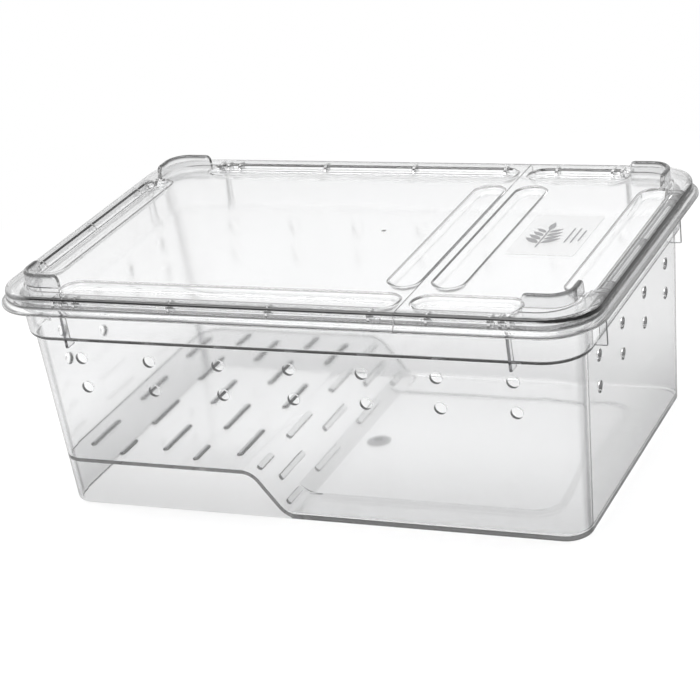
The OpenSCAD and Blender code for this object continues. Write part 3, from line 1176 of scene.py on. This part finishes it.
    def _vents(self, tub: Piece) -> Piece:
        """Bores the air holes of all four walls.

        Args:
            tub: The tub without holes.

        Returns:
            The bored tub.
        """
        span_l = (self.vents_long - 1) * self.vent_pitch_l / 2
        span_w = (self.vents_short - 1) * self.vent_pitch_w / 2
        low, rise = self.vent_low_z, (0, 0, self.vent_rise)
        for side in (-1, 1):
            half_w, half_l = side * self.foot.width / 2, side * self.foot.length / 2
            for count, first, step, turn in (
                    (self.vents_long, (-span_l, half_w, low), (self.vent_pitch_l, 0, 0), (90, 0, 0)),
                    (self.vents_short, (half_l, -span_w, low), (0, self.vent_pitch_w, 0), (0, 90, 0))):
                self.holes.run(tub, self.finishes.tub, count, 2, first, step, rise, turn, self.vent_d,
                               self.drill)
        return tub


# ------------------------------------------------------------------ lids


@dataclass
class Lids:
    """Both lids, made as one plate with its skirt and then parted at the seam."""

    tub: Tub
    finishes: Finishes
    copies: Grid
    stack_h: float = 7.0
    top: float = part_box("main_lid")[1][2] / MM - stack_h
    plate_t: float = 2.0
    skirt_t: float = 1.8
    skirt_gap: float = 0.4
    upright: float = 5.0
    upright_row: float = 0.5
    skirt_h: float = 8.9
    flare: float = 2.8
    flare_steps: int = 8
    toe_h: float = 0.9
    toe_r: float = 0.4
    fillet_r: float = 1.2
    corner_r: float = 25.0
    edge_r: float = 2.0
    seam_x: float = 64.0
    seam_gap: float = 0.5
    seat_gap: float = 0.05
    plug_t: float = 1.6
    plug_drop: float = 2.9
    plug_gap: float = 0.4
    plug_stop: float = 10.6
    plug_tip: float = 0.5
    plug_top: float = 0.8
    plug_clear: float = 0.4
    bite: float = 0.7
    rib_t: float = 1.5
    rib_bevel: float = 0.3
    rib_pair: float = 4.4
    rib_pitch: float = 53.0
    rib_seam_main: float = 13.5
    rib_seam_feed: float = 15.5
    rib_pitch_feed: float = 31.0
    groove_w: float = 14.4
    groove_d: float = 3.2
    groove_in_y: float = 9.0
    groove_in_x: float = 7.0
    groove_l: float = 133.0
    groove_end: float = 36.5
    groove_seam: float = 4.4
    groove_seam_main: float = 3.0
    groove_seam_feed: float = 5.6
    groove_side: float = 1.6
    groove_past: Span = (0.9, 0.35)
    tray_past: Span = (0.9, 0.6)
    gate_x: float = 18.4
    gate_pit: tuple[Span, ...] = ((0.4, -0.8), (0.9, -0.6), (1.3, 0.0), (1.5, 0.3))
    stack_t: float = 2.4
    stack_gap_l: float = 2.2
    stack_gap_w: float = 0.4
    stack_r: float = 9.0
    stack_arm_x: float = 24.0
    stack_arm_y: float = 21.0
    stack_slope: float = 3.2
    stack_edge: float = 0.9
    stack_least: Span = (0.3, 0.1)
    stack_bite: float = 0.5
    stack_rows: Span = (0.25, 0.8)
    # painted shade, from 0 to 1, on the plate's edge, the skirt's bend and toe, the seating ribs, the inner
    # wall's foot, the raised corners and the gate pit; far_tone is the share of it that the two far sides keep
    edge_tone: float = 1.0
    end_tone: float = 0.35
    far_tone: float = 0.35
    bend_tone: float = 0.9
    toe_tone: float = 0.9
    rib_tone: float = 0.96
    stack_tone: float = 0.88
    stack_foot_tone: float = 0.1
    stack_crest: float = 0.95
    gate_tone: float = 0.7
    gate_deep: float = 0.9
    above: float = 0.02
    rim_reach: float = 0.3
    end_from: float = 0.3
    channel_gap: float = 0.2
    edge_band: tuple[Span, Span] = ((0.7, 2.0), (1.0, 1.2))
    bend_band: Span = (0.2, 0.7)
    toe_band: Span = (-0.1, 1.0)
    plain_from: float = 1.5
    plain_share: float = 0.25

    def __post_init__(self) -> None:
        """Works out the outlines from the tub's rim."""
        tub = self.tub
        rim = tub.lean(tub.height) + tub.collar_step + tub.flange_reach
        self.out = rim + self.skirt_gap + self.skirt_t
        self.plate = Outline(tub.foot.length + 2 * self.out, tub.foot.width + 2 * self.out, self.corner_r, 28)
        self.under = self.top - self.plate_t
        self.plug_low = tub.height - self.plug_drop
        self.plug_out = tub.lean(self.plug_low) + tub.collar_step - tub.wall - self.plug_gap
        self.groove_x = self.plate.length / 2 - self.groove_in_x - self.groove_w / 2
        self.groove_y = self.plate.width / 2 - self.groove_in_y - self.groove_w / 2
        self.feed_groove_x = self.seam_x + self.groove_seam_feed + self.groove_w / 2
        self.main_groove_x = self.seam_x - self.groove_seam_main - self.groove_w / 2
        self.rib_places = [self.seam_x - self.rib_seam_main - i * self.rib_pitch for i in range(4)]
        self.rib_places += [self.seam_x + self.rib_seam_feed + i * self.rib_pitch_feed for i in range(2)]
        self.rib_places += [side * tub.fin_x + step * self.rib_pair / 2
                            for side in (-1, 1) for step in (-1, 1)]

    def section(self) -> Profile:
        """Gives the lid's section: out over the top, down the skirt, back up inside and in under the plate.

        Returns:
            Distances out and heights.
        """
        top, skirt, toe_r = self.top, self.skirt_t, self.toe_r
        low, start = top - self.skirt_h, top - self.upright + toe_r
        over = arc((-self.edge_r, top - self.edge_r), self.edge_r, 90, 0, 7)
        over += [(0.0, top - self.edge_r - self.upright_row * i) for i in range(1, 5)]
        parts = [i / self.flare_steps for i in range(self.flare_steps + 1)]
        curve = [(self.flare * (1 - math.cos(math.pi * part)) / 2, start + (low + self.toe_h - start) * part)
                 for part in parts]
        toe = arc((self.flare - toe_r, low + toe_r), toe_r, 0, -90, 3)
        toe += arc((self.flare - skirt + toe_r, low + toe_r), toe_r, -90, -180, 3)
        inner = [(x - skirt, z) for x, z in reversed(curve)]
        return over + curve + toe + inner + arc((-skirt - self.fillet_r, self.under - self.fillet_r),
                                                self.fillet_r, 0, 90, 5)

    def build(self) -> dict[Side, Piece]:
        """Makes both lids.

        Returns:
            Each lid as one closed mesh.
        """
        whole = new_object("lid_blank", self.plate.solid(self.section()))
        for tool, cut in ((self._plug(), Cut.JOIN), (self._ribs(), Cut.JOIN),
                          (self._grooves(self._tray_profile()), Cut.JOIN),
                          (self._grooves(self._groove_profile()), Cut.REMOVE),
                          (self._stacking_corners(), Cut.JOIN), (self._gate_mark(), Cut.REMOVE)):
            shaped(whole, tool, cut)
        reach = self.plate.length
        parts = {}
        for side, low, high in ((Side.MAIN, -reach, self.seam_x - self.seam_gap / 2),
                                (Side.FEEDING, self.seam_x + self.seam_gap / 2, reach)):
            half = new_object(side.value + "_clear", bmesh_of(whole))
            shaped(half, block((low, -reach, 0), (high, reach, 2 * self.top)), Cut.KEEP)
            parts[side] = made_of(painted_with_shade(smoothed(half), self._painted_shade), self.finishes.lid)
        drop(whole)
        return parts

    def _painted_shade(self, spot: Vector, middle: Vector) -> float:
        """Gives the painted shade of the lids at a face's corner.

        Args:
            spot: The corner's place.
            middle: The face's middle.

        Returns:
            The painted shade of the skirt, the seating ribs, the inner wall, the raised corners or the pit, or
            0.
        """
        x, y, z = spot
        out, end = self.plate.beyond(x, y), self.plate.endwise(x, y)
        if middle.z > self.top + self.above:
            return self.stack_tone if z > self.top + self.stack_h - self.stack_crest else self.stack_foot_tone
        skirt = -self.rim_reach - (self.skirt_t + SLACK) * (end > self.end_from)
        if out > (-self.edge_r - SLACK if z > self.under else skirt):
            return self._skirt_painted_shade(self.top - z, end, (x < 0, y > 0))
        deep = self.top - self.gate_deep
        if math.hypot(middle.x - self.gate_x, middle.y) < self.gate_pit[2][0] and middle.z > deep:
            return self.gate_tone
        gap = self.channel_gap
        channel = self.plug_out - self.out + gap < out < -self.skirt_t - gap
        near = min(abs(middle.x - place) for place in self.rib_places) < self.rib_t / 2 + SLACK
        rib = end < 0.5 and middle.z < self.under - SLACK and near
        foot = self.tub.height < z < self.under - self.groove_d - SLACK
        return self.rib_tone if channel and (rib or foot) else 0.0

    def _skirt_painted_shade(self, down: float, end: float, far: tuple[bool, bool]) -> float:
        """Gives the painted shade of the plate's edge and the skirt, with less of it painted on the two far
        sides.

        Args:
            down: How far below the plate's top the spot lies.
            end: 1 at a short side, 0 at a long one, and what lies between round a corner.
            far: Whether the spot is on the far half along X, and along Y.

        Returns:
            The painted shade: bands on the edge, the skirt's bend and its toe, and a plain one between.
        """
        (edge, edge_grow), (wide, wide_grow) = self.edge_band
        bands = ((edge + edge_grow * end, wide + wide_grow * end, self.edge_tone),
                 (self.upright + self.bend_band[0], self.bend_band[1], self.bend_tone),
                 (self.skirt_h + self.toe_band[0], self.toe_band[1], self.toe_tone))
        share = self.plain_share if self.plain_from < down < self.upright else 0.0
        plain = self.end_tone * (share + (1.0 - share) * end)
        # painted light: the two far sides keep only far_tone of the painted shade
        lit = 1.0 - (1.0 - self.far_tone) * (end * far[0] + (1.0 - end) * far[1])
        return lit * max(plain, *(self._band(down, level, half) * tone for level, half, tone in bands))

    @staticmethod
    def _band(down: float, level: float, half: float) -> float:
        """Gives 1 in the middle of a band of depths, falling to 0 at its edges."""
        return min(1.0, max(0.0, 2.2 * (1.0 - abs(down - level) / half)))

    def _plug(self) -> Piece:
        """Makes the wall that centres the lids inside the collar, open at the seam.

        Returns:
            The wall as one mesh.
        """
        out, thick, tip, high = self.plug_out, self.plug_t, self.plug_tip, self.top - self.plug_top
        section = [(out, high), (out, self.plug_low + tip)]
        section += arc((out - tip, self.plug_low + tip), tip, 0, -90, 3)
        section += arc((out - thick + tip, self.plug_low + tip), tip, -90, -180, 3)
        wall = new_object("plug", self.tub.foot.solid(section + [(out - thick, high)], ring_closed=True))
        reach, stop = self.plate.width, self.plug_stop
        high = self.under + self.plug_clear
        gap = block((self.seam_x - stop, -reach, 0), (self.seam_x + stop, reach, high))
        return shaped(wall, gap, Cut.REMOVE)

    def _rib(self, lengthwise: bool) -> Piece:
        """Makes one seating rib between the inner wall and the skirt.

        Args:
            lengthwise: True for a rib of a long side, False for one of a short side.

        Returns:
            The rib at the middle of its side.
        """
        half, cut = (self.tub.foot.width if lengthwise else self.tub.foot.length) / 2, self.rib_bevel
        inner, outer = half + self.plug_out - self.plug_t / 2, half + self.out - self.skirt_t / 2
        low, high = self.tub.height + self.seat_gap, self.under + self.bite
        side = [(inner, low + cut), (inner + cut, low), (outer - cut, low), (outer, low + cut), (outer, high),
                (inner, high)]
        rib = prism(side, -self.rib_t / 2, self.rib_t / 2)
        return new_object("rib", moved(rib, (0, 0, 0), 90 if lengthwise else 0))

    def _ribs(self) -> Piece:
        """Makes every seating rib, with a close pair beside each nesting fin.

        Returns:
            All ribs in one mesh.
        """
        tub = self.tub
        runs = [(True, 4, self.seam_x - self.rib_seam_main, -self.rib_pitch),
                (True, 2, self.seam_x + self.rib_seam_feed, self.rib_pitch_feed),
                (False, 3, -self.rib_pitch, self.rib_pitch)]
        for side in (-1, 1):
            runs += [(True, 2, side * tub.fin_x - self.rib_pair / 2, self.rib_pair),
                     (False, 2, side * tub.fin_y - self.rib_pair / 2, self.rib_pair)]
        made = []
        for lengthwise, count, first, step in runs:
            along, across = ((1, 0, 0), (0, 1, 0)) if lengthwise else ((0, 1, 0), (1, 0, 0))
            ribs = self.copies.run(self._rib(lengthwise), self.finishes.lid, count, 1,
                                   [first * a for a in along], [step * a for a in along])
            other = new_object("ribs", bmesh_of(ribs))
            other.data.transform(Matrix.Scale(-1, 4, across))
            other.data.flip_normals()
            made += [ribs, other]
        return merged(made)

    def _groove_side(self) -> Profile:
        """Gives a groove's side from its floor to just under the plate's top face, as one smooth slope."""
        low, reach, parts = self.top - self.groove_d, self.groove_side, [i / 12 for i in range(12)]
        return [(-reach + 2 * reach * part, low + self.groove_d * (1 - math.cos(math.pi * part)) / 2)
                for part in parts]

    def _groove_profile(self) -> Profile:
        """Gives the profile of a groove's hollow, with a rounded lip and foot."""
        side = self._groove_side()
        return side + [(side[-1][0] + self.groove_past[0], side[-1][1] + self.groove_past[1])]

    def _tray_profile(self) -> Profile:
        """Gives the profile of a groove's underside.

        Returns:
            Distances out and heights, from its floor to inside the plate.
        """
        grow, bite = self.tray_past
        side = [(u + grow, z - self.plate_t) for u, z in self._groove_side()
                if z - self.plate_t < self.under - SLACK]
        first, last = (side[0][0], self.under - self.groove_d), (side[-1][0] + bite, self.under + bite)
        return [first] + side[1:] + [last]

    def _grooves(self, profile: Profile) -> Piece:
        """Makes the solids of all grooves.

        Args:
            profile: The distances out and heights of their rings.

        Returns:
            All grooves in one mesh.
        """
        low, high = -self.plate.length / 2 + self.groove_end, self.plate.length / 2 - self.groove_end
        main_end, feed_start = self.seam_x - self.groove_seam, self.seam_x + self.groove_seam
        parts = []
        for side in (-1, 1):
            for start, end in ((low, main_end), (feed_start, high)):
                parts.append(moved(pill(end - start, self.groove_w, profile),
                                   ((start + end) / 2, side * self.groove_y, 0)))
        for x in (-self.groove_x, self.main_groove_x, self.feed_groove_x, self.groove_x):
            parts.append(moved(pill(self.groove_l, self.groove_w, profile), (x, 0, 0), 90))
        return new_object("grooves", gathered(parts))

    def _gate_mark(self) -> Mesh:
        """Makes the small pit that the mould's gate leaves in the large lid."""
        return turned([(r, self.top + z) for r, z in self.gate_pit], 24, self.gate_x)

    def _stacking_corners(self) -> Piece:
        """Makes the four raised corners, with rounded tops and ends that slope down to the plate.

        Returns:
            All four in one mesh.
        """
        sections = [self._corner_section(*station) for station in self._corner_stations()]
        return new_object("stacking", gathered(
            loft([[Vector((p.x * turn_x, p.y * turn_y, p.z)) for p in ring] for ring in sections])
            for turn_x, turn_y in ((1, 1), (-1, 1), (-1, -1), (1, -1))))

    def _corner_stations(self, steps: int = 6, turns: int = 12) -> list[tuple[float, float, float, float]]:
        """Gives the stations along one raised corner, from one arm's end round to the other's.

        Args:
            steps: Stations in each sloping end.
            turns: Straight pieces round the corner.

        Returns:
            The place of each station's outer face along X and Y, the degrees that it faces, and how far it
            is up the sloping end, from 0 to 1.
        """
        half_l = self.tub.foot.length / 2 + self.stack_gap_l + self.stack_t
        half_w = self.tub.foot.width / 2 + self.stack_gap_w + self.stack_t
        radius = self.stack_r + self.stack_t
        slope = [(self.stack_slope * part * part, part) for part in [i / steps for i in range(steps + 1)]]
        angles = [90 - 90 * i / turns for i in range(turns + 1)]
        bend = arc((half_l - radius, half_w - radius), radius, 90, 0, turns)
        return [(half_l - self.stack_arm_x + along, half_w, 90.0, part) for along, part in slope] \
            + [(x, y, angle, 1.0) for (x, y), angle in zip(bend, angles)] \
            + [(half_l, half_w - self.stack_arm_y + along, 0.0, part) for along, part in reversed(slope)]

    def _corner_section(self, x: float, y: float, facing: float, part: float) -> list[Vector]:
        """Gives the section of a raised corner at one station.

        Args:
            x: Where its outer face lies along X.
            y: Where it lies along Y.
            facing: The degrees that the face looks.
            part: How far the station is up the sloping end, from 0 to 1.

        Returns:
            The section's ring of points.
        """
        top, normal = self.top, math.radians(facing)
        rise = max(self.stack_h * math.sqrt(max(1 - (1 - part) ** 2, 0.0)), self.stack_least[0])
        curve = min(self.stack_edge, max(rise * 0.4, self.stack_least[1]))
        high, (row, last) = top + rise, self.stack_rows
        side = [(0.0, top - self.stack_bite), (0.0, top + row * rise), (0.0, top + last * (rise - curve)),
                (0.0, high - curve)]
        side += [(curve * (1 - math.cos(a)), high - curve * (1 - math.sin(a)))
                 for a in [math.radians(degrees) for degrees in (30, 60, 90)]]
        across = [(-u, z) for u, z in side] + [(u - self.stack_t, z) for u, z in reversed(side)]
        return [Vector((x + math.cos(normal) * u, y + math.sin(normal) * u, z)) for u, z in across]


# ------------------------------------------------------------------ label


@dataclass
class FilmLabel:
    """The clear film on the feeding lid and its plain print: a leaf spray and ruled lines."""

    finishes: Finishes
    radius: float = 1.5
    edge: float = 0.06
    edge_h: float = 0.05
    lift: float = 0.03
    ink_t: float = 0.05
    ink_round: float = 0.02
    stroke: float = 0.9
    line_x: float = 7.5
    line_pitch: float = 3.2
    line_halves: tuple[float, ...] = (9.0, 9.0, 6.5)
    stem_x: float = -5.0
    stem_y: Span = (-16.0, 6.0)
    leaf_pairs: int = 4
    leaf_first: float = 5.0
    leaf_pitch: float = 4.6
    leaf_angle: float = 52.0
    leaf_gap: float = 0.4
    leaf_l: float = 10.5
    leaf_taper: float = 0.9
    leaf_tip: float = 10.0
    leaf_shape: tuple[float, float, float] = (0.34, 0.5, 0.8)

    def __post_init__(self) -> None:
        """Takes the film's place and size from its solid."""
        low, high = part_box("film_label")
        self.low = [c / MM for c in low]
        self.high = [c / MM for c in high]
        self.centre = [(a + b) / 2 for a, b in zip(self.low, self.high)]

    def film(self) -> Piece:
        """Makes the film with its rounded corners and edge.

        Returns:
            The film.
        """
        size = [b - a for a, b in zip(self.low, self.high)]
        thick = size[2] - self.edge - self.lift
        spots = [(-self.edge, 0.0), (0, self.edge_h), (0, thick - self.edge_h), (-self.edge, thick)]
        made = new_object("film_label_clear", moved(Outline(size[0], size[1], self.radius, 8).solid(spots), (
            self.centre[0], self.centre[1], self.low[2] + self.lift)))
        return smoothed(made_of(made, self.finishes.film))

    def print_marks(self) -> Piece:
        """Makes the ink: strokes and leaves that lie on the film.

        Returns:
            All the ink in one mesh.
        """
        x, y, z = self.centre[0], self.centre[1], self.high[2] - self.ink_t
        stem, low, high = x + self.stem_x, y + self.stem_y[0], y + self.stem_y[1]
        strokes = [(x + self.line_x + self.line_pitch * i, y - half, y + half)
                   for i, half in enumerate(self.line_halves)] + [(stem, low, high)]
        leaves = [(stem, high, 90.0, self.leaf_tip)]
        leaves += [(stem + side * self.leaf_gap, low + self.leaf_first + self.leaf_pitch * pair,
                    90.0 - side * self.leaf_angle, self.leaf_l - self.leaf_taper * pair)
                   for pair in range(self.leaf_pairs) for side in (-1, 1)]
        parts = [self._stroke(*stroke, z) for stroke in strokes] + [self._leaf(*leaf, z) for leaf in leaves]
        return made_of(new_object("film_label_print", gathered(parts)), self.finishes.ink)

    def _stroke(self, x: float, low: float, high: float, z: float) -> Mesh:
        """Makes one inked line along Y, with round ends."""
        edge = self.ink_round
        spots = [(-edge, z), (0, z + edge), (-edge, z + self.ink_t)]
        return moved(pill(high - low + self.stroke, self.stroke, spots, 5), (x, (low + high) / 2, 0), 90)

    def _leaf(self, x: float, y: float, angle: float, length: float, z: float, steps: int = 12) -> Mesh:
        """Makes one inked leaf of the spray.

        Args:
            x: The place along X of the spot that it grows from.
            y: That spot's place along Y.
            angle: Where it points, in degrees.
            length: Its length.
            z: Its height.
            steps: Straight pieces in each of its edges.

        Returns:
            The closed mesh.
        """
        wide, start, swell = self.leaf_shape
        parts = [(1, i / steps) for i in range(steps)] + [(-1, 1 - i / steps) for i in range(steps)]
        edge = [(start + length * part, side * length * wide / 2 * math.sin(math.pi * part ** swell))
                for side, part in parts]
        rings = [[Vector((px, py, z + h)) for px, py in edge] for h in (0.0, self.ink_t)]
        return moved(loft(rings), (x, y, 0), angle)


# ------------------------------------------------------------------ studio


@dataclass(frozen=True)
class Lamp:
    """A soft square lamp that points at the keeper. Its lengths are in metres."""

    name: str
    place: Place
    size: float
    power: float
    target: Place = (0, 0, 0.05)

    def build(self) -> None:
        """Makes the lamp."""
        data = bpy.data.lights.new(self.name, "AREA")
        data.size = self.size
        data.energy = self.power
        made = linked(self.name, data)
        made.location = self.place
        made.rotation_euler = (Vector(self.target) - Vector(self.place)).to_track_quat("-Z", "Y").to_euler()


@dataclass(frozen=True)
class Studio:
    """The camera, the lamps, the pale floor and the white surroundings."""

    place: Place = (475.6, -992.3, 528.5)
    aim: Place = (-9.9, 0.0, 55.2)
    roll: float = -8.0
    focal_pixels: float = 2293.0
    sensor: float = 36.0
    clip: float = 20.0
    floor_half: float = 3000.0
    floor_z: float = -0.15
    floor_grey: float = 0.90
    mirrored_grey: float = 0.38
    glow_span: Span = (0.20, 0.50)
    glow_share: Span = (0.5, 1.0)
    dark: float = 0.60
    overhead_span: Span = (0.45, 0.75)
    back: Place = (-0.44, 0.90, 0.0)
    back_span: Span = (-0.25, 0.35)
    lamps: tuple[Lamp, ...] = (Lamp("key", (-0.35, -0.2, 1.6), 1.2, 20.0),
                               Lamp("fill", (0.6, 0.5, 1.5), 1.0, 9.0))

    def camera(self) -> None:
        """Sets the camera where the photograph was taken from."""
        data = bpy.data.cameras.new("camera")
        data.sensor_width = self.sensor
        data.lens = self.focal_pixels / PHOTO_SIZE * self.sensor
        data.clip_end = self.clip
        made = linked("camera", data)
        place, aim = Vector(scaled(self.place)), Vector(scaled(self.aim))
        look = (aim - place).normalized()
        level = look.cross(Vector((0, 0, 1))).normalized()
        rise = level.cross(look)
        turn = math.radians(self.roll)
        right = level * math.cos(turn) + rise * math.sin(turn)
        above = rise * math.cos(turn) - level * math.sin(turn)
        pose = Matrix((right, above, -look)).transposed().to_4x4()
        pose.translation = place
        made.matrix_world = pose
        bpy.context.scene.camera = made

    def floor(self) -> None:
        """Makes the pale floor, which shows white and keeps the keeper's soft shadow.

        Mirror reflections see it darker, and near the keeper it glows only in part.
        """
        bm = bmesh.new()
        bmesh.ops.create_grid(bm, x_segments=2, y_segments=2, size=self.floor_half)
        floor = new_object("floor", moved(bm, (0, 0, self.floor_z)))
        material, tree = new_material("floor_white")
        rays = tree.add("ShaderNodeLightPath").outputs
        mirrored = tree.math("SUBTRACT", rays["Is Glossy Ray"], rays["Is Transmission Ray"], clamp=True)
        paper = tree.add("ShaderNodeBsdfDiffuse", {
            "Color": tree.mix(mirrored, grey(self.floor_grey), grey(self.mirrored_grey))})
        glow = tree.add("ShaderNodeEmission", {"Strength": 1.0})
        seen = tree.math("MAXIMUM", rays["Is Camera Ray"], rays["Is Transmission Ray"])
        away = tree.vector("LENGTH", tree.add("ShaderNodeTexCoord").outputs["Object"])
        share = tree.math("MULTIPLY", seen, tree.mapped(away, self.glow_span, self.glow_share, "LINEAR"))
        tree.add("ShaderNodeOutputMaterial", {"Surface": tree.shares(share, paper, glow)})
        made_of(floor, material)

    def surroundings(self) -> None:
        """Makes the world: white where it is seen, and darker overhead and in what the plastic reflects."""
        world = bpy.data.worlds.new("studio")
        bpy.context.scene.world = world
        world.use_nodes = True
        tree = NodeTree(world.node_tree)
        direction = tree.add("ShaderNodeTexCoord").outputs["Generated"]
        overhead = tree.mapped(tree.split(direction)["Z"], self.overhead_span, (1.0, self.dark))
        facing = tree.vector("DOT_PRODUCT", direction, self.back)
        behind = tree.mapped(facing, self.back_span, (self.dark, 1.0))
        seen = tree.add("ShaderNodeLightPath").outputs["Is Camera Ray"]
        white = tree.math("MAXIMUM", seen, tree.math("MINIMUM", overhead, behind))
        glow = tree.add("ShaderNodeBackground", {"Color": grey(1.0), "Strength": white})
        tree.add("ShaderNodeOutputWorld", {"Surface": glow.outputs[0]})

    def build(self) -> None:
        """Sets the whole studio."""
        self.camera()
        self.floor()
        self.surroundings()
        for lamp in self.lamps:
            lamp.build()
        bpy.context.scene.view_settings.view_transform = "Standard"


# ------------------------------------------------------------------ all together


def dress(made: Piece, body: str, node: str) -> None:
    """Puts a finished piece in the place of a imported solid, and reports it.

    Args:
        made: The piece.
        body: The body that it moves with.
        node: The solid that it stands for.
    """
    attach(made, body)
    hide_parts(node)
    LOG.info("%s: %d faces, on %s", made.name, len(made.data.polygons), body)


def main() -> None:
    """Builds the keeper and its studio."""
    logging.basicConfig(level=logging.INFO, format="%(name)s: %(message)s")
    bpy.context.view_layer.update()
    Studio().build()
    finishes = Finishes()
    copies, holes = Grid(Pattern.COPIES), Grid(Pattern.HOLES)
    tub = Tub(finishes, copies, holes)
    shell = made_of(tub.build(), finishes.tub)
    shell.name = shell.data.name = "tub_clear"
    dress(shell, "tub", "tub")
    for side, lid in Lids(tub, finishes, copies).build().items():
        dress(lid, side.value, side.value)
    label = FilmLabel(finishes)
    dress(label.film(), "feeding_lid", "film_label")
    marks = label.print_marks()
    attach(marks, "feeding_lid")
    LOG.info("%s: %d faces, on feeding_lid", marks.name, len(marks.data.polygons))


if __name__ == "__main__":
    main()
